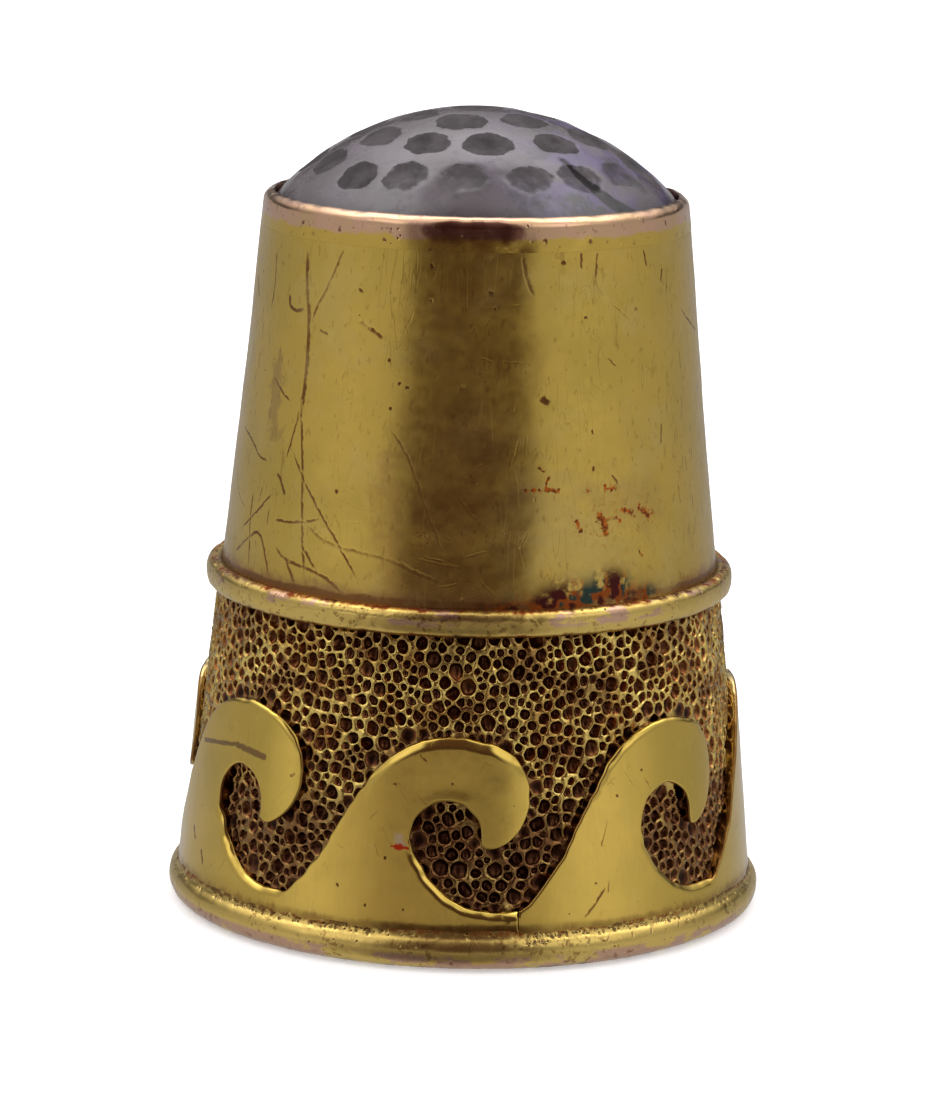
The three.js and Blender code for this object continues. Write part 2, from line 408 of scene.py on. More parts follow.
def engraved(name, path, back, columns, step, marks, relief=None, layers=None):
    """A round piece whose outside carries marks. path is the outside, from low to
    high, and back the hidden rest of the loop, from the top round to the foot. The
    rims are doubled, so that the outside is shaded as a plain wall up to them."""
    path = np.asarray(path, float)
    along = np.concatenate([[0], np.cumsum(np.hypot(*np.diff(path, axis=0).T))])
    normals = np.gradient(path, axis=0)
    normals = np.stack([normals[:, 1], -normals[:, 0]], -1)
    normals /= np.linalg.norm(normals, axis=1)[:, None]
    radius0 = path[:, 0].mean()
    around = TURN * radius0
    begin = -around / 2
    rows = max(5, int(round(along[-1] / step)) + 1)
    heights = np.linspace(0, along[-1], rows)
    heights[1], heights[-2] = 0.012, along[-1] - 0.012
    rng = np.random.default_rng(columns)
    s = begin + np.arange(columns)[None, :] * around / columns + np.zeros((rows, 1))
    v = heights[:, None] + np.zeros((1, columns))
    s[1:-1] += rng.uniform(-0.12, 0.12, (rows - 2, columns)) * around / columns
    v[2:-2] += rng.uniform(-0.12, 0.12, (rows - 4, columns)) * along[-1] / rows
    rims = np.stack([s[[0, -1]].ravel(), v[[0, -1]].ravel()], -1)
    field = np.stack([s[1:-1].ravel(), v[1:-1].ravel()], -1)
    cut = marks.table()
    cut[:, 0] = (cut[:, 0] - begin) % around + begin
    cut[:, 1] = np.interp(cut[:, 1], path[:, 1], along)
    cut = cut[(cut[:, 1] > 0.02) & (cut[:, 1] < along[-1] - 0.02)]
    if len(cut):
        field = field[nearest(field, cut[:, :2]) > 0.035]
    flat = np.concatenate([rims, field, cut[:, :2]])
    faces = wrapped_faces(flat, begin, around)
    extra = np.zeros((len(flat), 2))
    extra[len(flat) - len(cut) :] = cut[:, 2:]
    theta = flat[:, 0] / radius0
    radius, z = (np.interp(flat[:, 1], along, path[:, k]) for k in (0, 1))
    values = {k: f(theta, z) for k, f in (layers or {}).items()}
    lift = extra[:, 0] + (relief(theta, z) if relief is not None else 0)
    radius = radius + lift * np.interp(flat[:, 1], along, normals[:, 0])
    z = z + lift * np.interp(flat[:, 1], along, normals[:, 1])
    outside = round_axis(radius, theta, z)
    low_rim, high_rim = outside[:columns], outside[columns : 2 * columns]
    rings = [round_axis(np.full(columns, r), theta[:columns], height) for r, height in back]
    points = [outside, high_rim, *rings, low_rim]
    firsts = [len(flat) + i * columns for i in range(len(back) + 2)]
    hidden = np.zeros((len(back) + 2) * columns)
    values["dark"] = extra[:, 1]
    values = {k: np.concatenate([a, hidden]) for k, a in values.items()}
    faces += ring_faces(firsts, columns)
    return piece(name, np.concatenate(points), faces, values)


# ---------------------------------------------------------------- materials
class Nodes:
    """Short ways to wire one node tree. A value is a number, a colour or a socket."""

    def __init__(self, tree):
        self.tree = tree
        tree.nodes.clear()

    def put(self, socket, value):
        if isinstance(value, bpy.types.NodeSocket):
            self.tree.links.new(value, socket)
        elif isinstance(value, tuple) and len(value) == 3 and socket.type == "RGBA":
            socket.default_value = (*value, 1)
        else:
            socket.default_value = value

    def node(self, kind, inputs=(), **settings):
        """A new node. inputs holds a value for each socket by its name or number."""
        made = self.tree.nodes.new("ShaderNode" + kind)
        for name, value in settings.items():
            setattr(made, name, value)
        for key, value in dict(inputs).items():
            self.put(made.inputs[key], value)
        return made

    def math(self, operation, a, b=0.0, clamp=False):
        made = self.node("Math", {0: a, 1: b}, operation=operation, use_clamp=clamp)
        return made.outputs[0]

    def chain(self, operation, first, *others):
        for value in others:
            first = self.math(operation, first, value)
        return first

    def times(self, *values):
        return self.chain("MULTIPLY", *values)

    def plus(self, *values):
        return self.chain("ADD", *values)

    def greatest(self, *values):
        return self.chain("MAXIMUM", *values)

    def step(self, value, low, high, out_low=0.0, out_high=1.0):
        """Smooth step of a value between two limits."""
        limits = {"From Min": low, "From Max": high, "To Min": out_low, "To Max": out_high}
        made = self.node("MapRange", {"Value": value, **limits}, interpolation_type="SMOOTHSTEP")
        return made.outputs[0]

    def mix(self, amount, a, b):
        return self.node("Mix", {0: amount, 6: a, 7: b}, data_type="RGBA").outputs[2]


class Look(Nodes):
    """A piece's material, painted as layers of colour over one another. mm is the place
    on the object in millimetres, and x, y and z are its parts."""

    def __init__(self, name, colour):
        self.material = bpy.data.materials.new(name)
        self.material.use_nodes = True
        super().__init__(self.material.node_tree)
        self.colour = colour
        self.shader = self.node("BsdfPrincipled")
        self.node("OutputMaterial", {0: self.shader.outputs[0]})
        self.mm = self.node("TexCoord").outputs["Object"]
        self.mm = self.mapped(scale=(1000, 1000, 1000))
        self.x, self.y, self.z = self.node("SeparateXYZ", {0: self.mm}).outputs

    def paint(self, tone, *amounts):
        """Lays a tone over the colour, as strongly as the product of some amounts."""
        self.colour = self.mix(self.times(*amounts), self.colour, tone)

    def mapped(self, rotation=(0, 0, 0), scale=(1, 1, 1), location=(0, 0, 0)):
        change = {"Rotation": rotation, "Scale": scale, "Location": location}
        return self.node("Mapping", {"Vector": self.mm, **change}).outputs[0]

    def noise(self, scale, detail=3.0, rough=0.55, vector=None, distortion=0.0):
        fineness = {"Scale": scale, "Detail": detail, "Roughness": rough}
        inputs = {"Vector": vector or self.mm, "Distortion": distortion, **fineness}
        return self.node("TexNoise", inputs).outputs[0]

    def patches(self, noise, low, high, out_low=0.0, out_high=1.0):
        """Smooth step of a noise, given by its arguments."""
        return self.step(self.noise(*noise), low, high, out_low, out_high)

    def uneven(self, *noise):
        """A noise about zero."""
        return self.math("SUBTRACT", self.noise(*noise), 0.5)

    def layer(self, name):
        return self.node("Attribute", attribute_name=name).outputs["Fac"]

    def unroll(self, radius):
        """Takes a wall's radius, on which smears are then measured round the axis."""
        angle = self.math("ARCTAN2", self.x, self.math("MULTIPLY", self.y, -1.0))
        self.radius = radius
        self.s = self.math("MULTIPLY", angle, radius)

    def smear(self, start, end, half, ragged=0.0, soft=0.5):
        """1 on a mark of some half width between two (degrees, height) points."""
        s0, s1 = (math.radians(a) * self.radius for a in (start[0], end[0]))
        ds, dz = s1 - s0, end[1] - start[1]
        size = ds * ds + dz * dz + 1e-6
        ps, pz = self.plus(self.s, -s0), self.plus(self.z, -start[1])
        t = self.math("ADD", self.times(ps, ds / size), self.times(pz, dz / size), clamp=True)
        away = [self.math("SUBTRACT", p, self.times(t, d)) for p, d in ((ps, ds), (pz, dz))]
        squares = [self.math("POWER", self.math("ABSOLUTE", gap), 2.0) for gap in away]
        gap = self.plus(self.math("SQRT", self.plus(*squares)), ragged)
        return self.step(gap, half * (1 - soft), half * (1 + soft), 1.0, 0.0)

    def bump(self, height, depth_mm):
        made = self.node("Bump", {"Distance": depth_mm * MM, "Strength": 1.0, "Height": height})
        return made.outputs[0]

    def hairlines(self, tilt, stretch, scale, width, seed):
        """Thin meandering lines that run mostly along one tilted direction."""
        along = self.mapped(rotation=tilt, scale=(1, 1, 1 / stretch), location=(seed, seed, 0))
        off = self.math("ABSOLUTE", self.uneven(scale, 1.0, 0.5, along))
        shown = self.patches((0.6, 2.0, 0.55, self.mapped(location=(seed, 0, 3))), 0.5, 0.62)
        return self.times(self.step(off, 0.0, width, 1.0, 0.0), shown)

    def finish(self, roughness, normal, metallic=1.0):
        parts = {"Base Color": self.colour, "Roughness": roughness, "Metallic": metallic}
        for name, value in parts.items():
            self.put(self.shader.inputs[name], value)
        if normal is not None:
            self.put(self.shader.inputs["Normal"], normal)
        return self.material


YELLOW = (0.70, 0.480, 0.100)
YELLOW_PALE = (0.74, 0.54, 0.15)
OLIVE = (0.58, 0.42, 0.085)
BROWN = (0.20, 0.085, 0.022)
MARK_AND_SHADE_BROWN = (0.225, 0.100, 0.028)
SOOT = (0.035, 0.016, 0.008)
RED_BROWN = (0.26, 0.055, 0.012)
BROWNED = (0.42, 0.225, 0.065)
ROSE = (0.74, 0.45, 0.30)


def gold_base(g, hair=1.0, satin=(0.19, 0.26), dent=0.0):
    """Paints worn yellow gold, and gives its roughness and fine relief."""
    mottle = g.noise(2.2, 4.0, 0.6)
    g.paint(OLIVE, g.patches((0.30, 3.0), 0.40, 0.66, 0.0, 0.55))
    g.paint(YELLOW_PALE, g.step(mottle, 0.52, 0.75, 0, 0.30))
    lines = [g.hairlines((0.25, 0.35, 0.0), 14.0, 2.4, 0.008, 2.0)]
    for tilt, seed in (((-0.5, 0.6, 0.0), 9.0), ((0.9, -0.7, 0.0), 17.0)):
        lines.append(g.hairlines(tilt, 10.0, 2.2, 0.007, seed))
    lines = g.times(g.greatest(*lines), hair)
    g.paint(BROWN, lines, 0.30)
    # The dark layer holds scratches and pits, and on the wave strip also its edges' dirt and painted
    # shade; it is painted brown, and near black where darkest.
    dark = g.layer("dark")
    g.paint(MARK_AND_SHADE_BROWN, g.step(dark, 0.03, 0.48))
    g.paint(SOOT, g.step(dark, 0.65, 1.0))
    rough = g.plus(g.step(mottle, 0.3, 0.75, *satin), g.times(dark, 0.25))
    height = g.math("SUBTRACT", g.times(mottle, 0.8), g.times(lines, 0.5))
    normal = g.bump(height, 0.0022)
    g.put(normal.node.inputs["Normal"], g.bump(g.noise(0.9, 2.0), dent))
    return rough, normal


# Soft tarnish on the sleeve: tone, strength, raggedness and softness, and then each
# mark's ends as (degrees, height) and its half width in mm.
SLEEVE_TARNISH = (
    ((0.52, 0.40, 0.16), 0.35, 3.0, 0.8, ((14, 12.6), (30, 11.2), 1.0)),
    (BROWNED, 0.52, 2.2, 0.9, ((-4, 14.0), (-6, 10.6), 1.25), ((-18.5, 13.4), (-17, 10.4), 0.45)),
    ((0.42, 0.26, 0.09), 0.32, 2.2, 0.9, ((36, 12.7), (45, 12.4), 0.62)),
    ((0.36, 0.22, 0.09), 0.5, 2.42, 0.8, ((-57.5, 15.9), (-56, 14.0), 0.24)),
)
# Rust on the sleeve: ends as (degrees, height) and half width in mm.
RUST = (
    ((17.5, 13.0), (18.2, 13.3), 0.035), ((16, 13.6), (17, 13.5), 0.03),
    ((31.5, 12.2), (33, 11.75), 0.11), ((33, 12.95), (36, 12.9), 0.05),
    ((28, 12.95), (29, 12.9), 0.035), ((38, 12.3), (40.5, 12.2), 0.07),
    ((25, 12.1), (26, 11.85), 0.05), ((43, 12.3), (46, 12.0), 0.06),
    ((36, 12.1), (37, 12.05), 0.05), ((42, 11.2), (43, 11.0), 0.03),
)


def sleeve_material():
    g = Look("worn_yellow_gold", YELLOW)
    rough, normal = gold_base(g, 1.0, (0.19, 0.26), 0.012)
    g.unroll(SLEEVE_MIDDLE)
    ragged = g.noise(1.6, 5.0, 0.65)
    line = g.plus(g.z, g.times(ragged, -0.9))
    line = g.step(line, JOINT - 0.05, JOINT + 0.42, 1.0, 0.0)
    g.paint(g.mix(g.patches((0.35,), 0.4, 0.62), RED_BROWN, (0.30, 0.16, 0.07)), line, 0.92)
    seam = g.plus(g.z, g.times(g.noise(1.0, 4.0), -0.34))
    g.paint((0.12, 0.030, 0.010), g.step(seam, BEAD_HIGH.z - 0.05, BEAD_HIGH.z + 0.05, 1.0, 0.0), 0.85)
    g.paint((0.42, 0.24, 0.08), g.step(g.z, JOINT + 0.3, JOINT + 1.6, 0.30, 0.0))
    cloudy = g.patches((0.55, 5.0, 0.65, g.mapped(location=(3, 9, 4))), 0.50, 0.68)
    g.paint((0.70, 0.52, 0.17), cloudy, 0.4)
    uneven = g.math("SUBTRACT", ragged, 0.5)
    for tone, strength, raggedness, soft, *marks in SLEEVE_TARNISH:
        shaky = g.times(uneven, raggedness)
        g.paint(tone, g.greatest(*(g.smear(*mark, shaky, soft) for mark in marks)), strength)
    g.paint(BROWN, g.patches((7.0, 3.0, 0.6, g.mapped(scale=(1, 1, 0.45))), 0.60, 0.70), 0.30)
    rust, stain = sleeve_spots(g)
    rough = g.plus(rough, g.times(rust, 0.3), g.times(stain, 0.12), g.times(line, 0.08))
    return g.finish(rough, normal)


def sleeve_spots(g):
    """Paints the sleeve's rust and its stain, and gives where they are."""
    crumbly = g.uneven(7.0, 4.0, 0.65)
    rust = [g.smear((13, 13.0), (20.5, 12.98), 0.045, g.times(crumbly, 0.45))]
    for start, end, half in RUST:
        rust.append(g.smear(start, end, half, g.times(crumbly, 3.0 * half + 0.25)))
    spread = g.times(g.layer("rust"), g.patches((5.5, 4.0), 0.56, 0.62), 0.8)
    rust = g.math("MAXIMUM", g.greatest(*rust), spread, clamp=True)
    g.paint(g.mix(g.patches((8.0, 3.0), 0.42, 0.56), (0.62, 0.16, 0.020), (0.20, 0.060, 0.020)), rust)
    stain = g.math("MULTIPLY", g.layer("stain"), g.patches((2.6, 4.0, 0.6), 0.36, 0.50), clamp=True)
    cloud = g.noise(1.3, 2.0, 0.55, g.mapped(location=(7, 3, 1)))
    tint = g.mix(g.step(cloud, 0.44, 0.50), (0.075, 0.016, 0.014), (0.30, 0.075, 0.015))
    g.paint(g.mix(g.step(cloud, 0.53, 0.58), tint, (0.035, 0.055, 0.045)), stain)
    return rust, stain


def bead_material(name, shares, low, high):
    """Yellow gold bead with rose patches where the colour is worn through between two
    heights. shares are the noise levels where a patch begins and is full."""
    g = Look(name, YELLOW)
    rough, normal = gold_base(g, 1.0, (0.24, 0.32))
    g.paint((0.74, 0.56, 0.22), 0.35)
    where = g.mapped(scale=(0.85, 0.85, 2.4), location=(5, 1, 2))
    band = g.times(g.step(g.z, low - 0.12, low), g.step(g.z, high, high + 0.12, 1.0, 0.0))
    worn = g.times(g.patches((0.55, 6.0, 0.66, where), *shares), band)
    g.paint((0.56, 0.34, 0.24), worn, 0.9)
    crust = g.times(g.patches((6.0, 4.0), 0.54, 0.62), g.patches((0.7,), 0.46, 0.56))
    g.paint(BROWN, crust, 0.6)
    # The grime layer is dirt, and painted shade on the foot bead's bottom edge and the upper bead's
    # top edge.
    grime = g.math("MULTIPLY", g.layer("grime"), g.patches((5.0, 4.0), 0.30, 0.55), clamp=True)
    g.paint(g.mix(g.patches((0.5,), 0.4, 0.6), (0.09, 0.035, 0.014), RED_BROWN), grime)
    return g.finish(g.plus(rough, g.times(grime, 0.3)), normal)


def frieze_material():
    g = Look("satin_yellow_gold", YELLOW)
    rough, normal = gold_base(g, 0.5, (0.14, 0.19), 0.010)
    g.unroll(DEVELOP)
    g.paint(OLIVE, g.patches((6.0, 3.0, 0.6, g.mapped(scale=(1, 1, 0.10))), 0.42, 0.70), 0.22)
    ticks = g.noise(3.0, 4.0, 0.65, g.mapped(scale=(1, 1, 0.22)))
    low = g.plus(g.z, g.times(ticks, -0.55))
    g.paint(BROWN, g.step(low, STRIP_LOW.z - 0.24, STRIP_LOW.z - 0.02, 1.0, 0.0), 0.6)
    # Browner towards the strip's foot: partly patina, and partly painted shade beside the foot bead's
    # cove.
    g.paint((0.42, 0.24, 0.07), g.step(g.z, STRIP_LOW.z, STRIP_LOW.z + 0.6, 0.2, 0.0))
    crumbly = g.uneven(5.0, 4.0, 0.6)
    bar = g.smear((-69, 4.98), (-54, 5.3), 0.062, g.times(crumbly, 0.10), 0.3)
    bar_end = g.smear((-54, 5.3), (-45, 5.2), 0.090, g.times(crumbly, 0.12), 0.3)
    g.paint((0.205, 0.112, 0.048), g.greatest(bar, bar_end), 0.85)
    pale = g.smear((-12.9, 3.55), (-12.4, 3.40), 0.12, g.times(crumbly, 0.3))
    g.paint((0.62, 0.50, 0.42), pale, 0.6)
    red = g.smear((-14.2, 3.34), (-10.9, 3.31), 0.030, g.times(crumbly, 0.12))
    red_heart = g.smear((-13.2, 3.33), (-12.2, 3.33), 0.07, g.times(crumbly, 0.25))
    g.paint((0.60, 0.050, 0.012), g.greatest(red, red_heart))
    # The strip's cut side walls are painted brown; near the object's left and right they are painted
    # paler gold instead, as painted light.
    cut = g.mix(g.patches((3.0, 4.0), 0.42, 0.62), (0.15, 0.055, 0.020), (0.52, 0.29, 0.09))
    aside = g.step(g.math("ABSOLUTE", g.x), 6.7, 7.2, 0.0, 0.8)
    g.paint(g.mix(aside, cut, (0.60, 0.46, 0.19)), g.layer("wall"))
    return g.finish(rough, normal)


def ground_material():
    bright, warm = (0.84, 0.62, 0.17), (0.48, 0.28, 0.07)
    hollow, shallow_pit_shade = (0.085, 0.032, 0.016), (0.034, 0.014, 0.008)
    g = Look("punched_gold", bright)
    pit = g.layer("pit")
    g.paint(warm, g.patches((1.1, 4.0), 0.40, 0.62))
    wall = g.mix(g.patches((1.8, 4.0), 0.42, 0.62), (0.20, 0.075, 0.026), (0.34, 0.115, 0.036))
    wall = g.mix(g.patches((9.0, 2.0), 0.60, 0.70), wall, (0.52, 0.27, 0.08))
    g.paint(wall, g.step(pit, 0.02, 0.30))
    # The punch marks' hollows are painted with their own dark oxide.
    g.paint(hollow, g.step(pit, 0.38, 0.90))
    grime = g.times(g.layer("grime"), g.patches((3.0, 3.0), 0.25, 0.6, 0.55, 1.0))
    g.paint(g.mix(g.step(pit, 0.05, 0.5), (0.21, 0.095, 0.038), (0.085, 0.032, 0.015)), grime)
    # Painted shade: shallow punch marks are painted darker still, in place of the shade that falls in
    # a deep hollow.
    g.paint(shallow_pit_shade, g.step(pit, 1.0, 1.25))
    rough = g.plus(g.patches((6.0, 3.0), 0.3, 0.7, 0.17, 0.28), g.times(pit, 0.15))
    return g.finish(rough, g.bump(g.noise(12.0, 3.0), 0.006))


def inside_material():
    g = Look("inner_gold", YELLOW)
    rough, normal = gold_base(g)
    g.paint((0.40, 0.26, 0.08), g.patches((0.6, 4.0), 0.35, 0.7, 0.2, 0.7))
    return g.finish(g.plus(rough, 0.12), normal)


def collar_material():
    g = Look("rose_gold", ROSE)
    g.unroll(COLLAR_MIDDLE)
    g.paint((0.70, 0.46, 0.25), g.patches((0.9, 4.0), 0.35, 0.7))
    ragged = g.uneven(1.0, 5.0, 0.6)
    g.paint(YELLOW, g.step(g.plus(g.z, g.times(ragged, 0.6)), 19.66, 19.80, 1.0, 0.0))
    # Painted reflection: a dark maroon band painted across the front of the collar.
    front_painted_dark = g.smear((-13, 19.92), (11, 19.92), 0.20, g.times(ragged, 0.5))
    g.paint((0.27, 0.105, 0.068), front_painted_dark, g.patches((1.6, 4.0), 0.35, 0.60, 0.55, 0.85))
    # Painted shade: the lip's top edge is painted dark where it meets the stone.
    rim = g.step(g.z, COLLAR_HIGH.z - 0.035, COLLAR_HIGH.z - 0.010)
    g.paint((0.20, 0.09, 0.06), rim, g.patches((2.0, 4.0), 0.40, 0.55, 0.55, 0.9))
    nick = g.times(g.patches((5.0, 5.0), 0.60, 0.68), 0.45)
    g.paint((0.22, 0.09, 0.05), g.greatest(nick, g.layer("dark")))
    return g.finish(g.patches((2.0, 4.0), 0.3, 0.7, 0.13, 0.22), g.bump(g.noise(3.0, 4.0), 0.004))


def stone_material():
    g = Look("dark_amethyst", (0.090, 0.072, 0.076))
    ground = g.layer("pit")
    ragged = g.uneven(4.0, 5.0, 0.65)
    crisp = g.step(g.plus(ground, g.times(ragged, 1.1)), 0.30, 0.58)
    faint = g.step(g.plus(ground, g.times(ragged, 1.9)), 0.15, 1.05, 0.0, 0.62)
    below = g.step(g.plus(g.z, g.times(ragged, 0.5)), 20.9, 21.75, 1.0, 0.0)
    soft = g.times(below, g.step(g.x, -2.9, -2.1))
    pit = g.plus(g.times(crisp, g.math("SUBTRACT", 1.0, soft)), g.times(faint, soft))
    g.paint((0.114, 0.090, 0.108), g.patches((0.45, 4.0, 0.5, None, 0.4), 0.4, 0.62))
    # Painted shade: the stone's lower part is painted darker, less so on the left.
    lower = g.times(below, g.step(g.x, -4.4, -2.8, 0.25, 1.0))
    g.paint((0.060, 0.045, 0.048), lower, 0.6)
    # Painted highlight: the stone's far left is painted paler grey in patches.
    g.paint((0.22, 0.20, 0.20), g.step(g.x, -5.3, -4.3, 0.6, 0.0), g.patches((0.8, 4.0), 0.40, 0.60))
    violet = g.times(g.step(g.x, -0.5, 3.5), g.patches((0.55, 3.0), 0.44, 0.60))
    g.paint((0.075, 0.048, 0.145), violet, 0.8)
    # Painted shade: the stone is painted darker just above the collar's lip.
    g.paint((0.030, 0.020, 0.024), g.step(g.z, COLLAR_HIGH.z - 0.1, COLLAR_HIGH.z + 0.3, 0.6, 0.0))
    matte = g.mix(g.patches((1.2, 3.0), 0.4, 0.65), (0.030, 0.024, 0.024), (0.062, 0.051, 0.053))
    g.paint(matte, pit, 0.95)
    cracked = g.step(g.plus(g.layer("flaw"), g.times(ragged, 0.5)), 0.45, 0.70)
    g.paint((0.012, 0.009, 0.010), cracked)
    # Dark smudges all over; on the right and low down they are painted stronger, as painted shade.
    smudge_and_shade = g.patches((0.9, 5.0, 0.65, g.mapped(location=(2, 5, 8))), 0.50, 0.66)
    right = g.times(g.step(g.x, 0.5, 2.5), 0.5)
    g.paint((0.022, 0.017, 0.018), smudge_and_shade, g.plus(0.25, right, g.times(lower, 0.3)))
    scuff = g.times(g.patches((2.5, 4.0, 0.6), 0.45, 0.70), 0.2)
    rough = g.plus(g.step(pit, 0.0, 1.0, 0.13, 0.62), g.times(cracked, 0.3), scuff)
    g.put(g.shader.inputs["Specular IOR Level"], g.step(pit, 0.0, 1.0, 0.5, 0.22))
    g.shader.inputs["IOR"].default_value = 1.55
    return g.finish(rough, g.bump(g.noise(3.0, 3.0), 0.004), 0.0)


def cement_material():
    g = Look("setting_cement", (0.20, 0.16, 0.12))
    g.paint((0.09, 0.07, 0.05), g.patches((2.0, 5.0), 0.35, 0.65))
    return g.finish(0.85, g.bump(g.noise(6.0, 5.0), 0.03), 0.0)


# ---------------------------------------------------------------- foot bead
SEAM_ANGLE = 11.0


def squared(cx, cy, half_wide, half_tall, start, end, steps, power=2.4):
    """Part of a rounded oval that is a little fuller than an ellipse."""
    a = np.radians(np.linspace(start, end, steps + 1))
    c, s = np.cos(a), np.sin(a)
    return np.stack(
        [
            cx + half_wide * np.sign(c) * np.abs(c) ** (2 / power),
            cy + half_tall * np.sign(s) * np.abs(s) ** (2 / power),
        ],
        -1,
    )


def foot_bead():
    half = FOOT_HIGH.z / 2
    wide = 0.52
    centre = FOOT_RADIUS - wide
    outer = squared(centre, half, wide, half, -78, 52, 22, 2.2)
    cove_top = FOOT_HIGH.z + 0.13
    meet = strip_radius(cove_top)
    t = np.linspace(0, 1, 8)[1:, None]
    bend = np.array([meet + 0.035, FOOT_HIGH.z + 0.01])
    end = np.array([meet + 0.006, cove_top])
    cove = (1 - t) ** 2 * outer[-1] + 2 * t * (1 - t) * bend + t * t * end
    path = resample(np.concatenate([outer, cove]), 0.03)
    back = [(meet - 0.10, cove_top - 0.01), (meet - 0.12, FOOT_HIGH.z - 0.1)]
    back += [(centre - 0.16, FOOT_HIGH.z - 0.06)]
    back += squared(centre, half, wide, half, 125, 258, 12, 2.2).tolist()
    marks = Marks(3)
    mean = path[:, 0].mean()
    place = arc_length(mean)
    crumbs = ((-57, -16, 110), (-16, 11, 12), (11, 54, 110), (54, 80, 14))
    for first, last, count in (*crumbs, (80, 150, 80), (190, 300, 90)):
        corners = (place(first), FOOT_HIGH.z - 0.10), (place(last), FOOT_HIGH.z + 0.05)
        marks.scatter(count, *corners, 0.040, 0.026, 1.0)
    marks.scatter(9, (place(12), 0.78), (place(17), 0.88), 0.035, 0.03, 1.0)
    marks.scatter(90, (place(-180), 0.25), (place(180), FOOT_HIGH.z - 0.1), 0.028, 0.014, 0.6)
    for angle in (19.5, 24, 28, 33.5, 38, 45):
        marks.stroke([(place(angle), 0.66), (place(angle + 0.6), 0.84)], 0.05, 0.02, 0.9)
    for angle in (12.2, 13.6, 15.2):
        marks.pit(place(angle), 0.80, 0.06, 0.04, 1.0)

    def relief(theta, z):
        soft = 0.005 * waviness(theta, z, 5, 2.2) + 0.002 * waviness(theta, z, 6, 0.6)
        return np.minimum(soft - 0.003, 0.0) * (z > 0.02)

    def grime(theta, z):
        shaky = z + 0.03 * waviness(theta, z, 8, 0.6)
        cove_line = smooth(FOOT_HIGH.z - 0.05, FOOT_HIGH.z + 0.04, shaky)
        # Painted shade: the bottom edge, where the bead stands on the floor, is painted dark.
        under = smooth(0.10, 0.02, z + 0.02 * waviness(theta, z, 9, 0.8))
        seam = np.exp(-(((theta - math.radians(SEAM_ANGLE)) * mean) ** 2) / 0.12**2)
        return np.clip(0.85 * cove_line + under + 0.5 * seam * smooth(0.8, 1.1, z), 0, 1)

    layers = {"grime": grime}
    made = engraved("foot_bead_gold", path, back, 420, 0.045, marks, relief, layers)
    made.data.materials.append(bead_material("foot_bead_gold", (0.45, 0.49), 0.08, 0.40))
    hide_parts("foot_bead")


# ---------------------------------------------------------------- upper bead
def upper_bead():
    outer = squared(7.1, JOINT, 0.4, BEAD_HALF, -76, 82, 24, 2.9)
    path = resample(outer, 0.025)
    inner = 6.98
    back = [(inner, BEAD_HIGH.z - 0.03), (inner, JOINT + 0.1), (inner, JOINT - 0.1)]
    back += [(inner + 0.04, BEAD_LOW.z + 0.03)]
    marks = Marks(13)
    place = arc_length(path[:, 0].mean())
    left, right = place(-180), place(180)
    top = BEAD_HIGH.z
    marks.scatter(70, (left, BEAD_LOW.z + 0.1), (right, top - 0.1), 0.028, 0.012, 0.6)
    marks.scatter(60, (left, top - 0.12), (right, top - 0.02), 0.03, 0.02, 0.9)
    faint = [(place(angle), JOINT + up) for angle, up in ((-44, 0.05), (-28, 0.16), (-12, 0.1))]
    marks.stroke(faint, 0.05, 0.02, 0.25)

    def relief(theta, z):
        soft = 0.007 * waviness(theta, z, 15, 2.0) + 0.003 * waviness(theta, z, 16, 0.6)
        return np.minimum(soft - 0.004, 0.0)

    def grime(theta, z):
        shaky = 0.03 * waviness(theta, z, 18, 0.7)
        # The top edge against the sleeve is painted dark: dirt in the joint, and painted shade.
        top = smooth(BEAD_HIGH.z - 0.09, BEAD_HIGH.z - 0.02, z + shaky)
        foot = smooth(BEAD_LOW.z + 0.12, BEAD_LOW.z + 0.03, z + shaky)
        return np.clip(top + foot, 0, 1)

    layers = {"grime": grime}
    made = engraved("upper_bead_gold", path, back, 400, 0.035, marks, relief, layers)
    made.data.materials.append(bead_material("upper_bead_gold", (0.53, 0.57), JOINT, BEAD_HIGH.z))
    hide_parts("upper_bead")


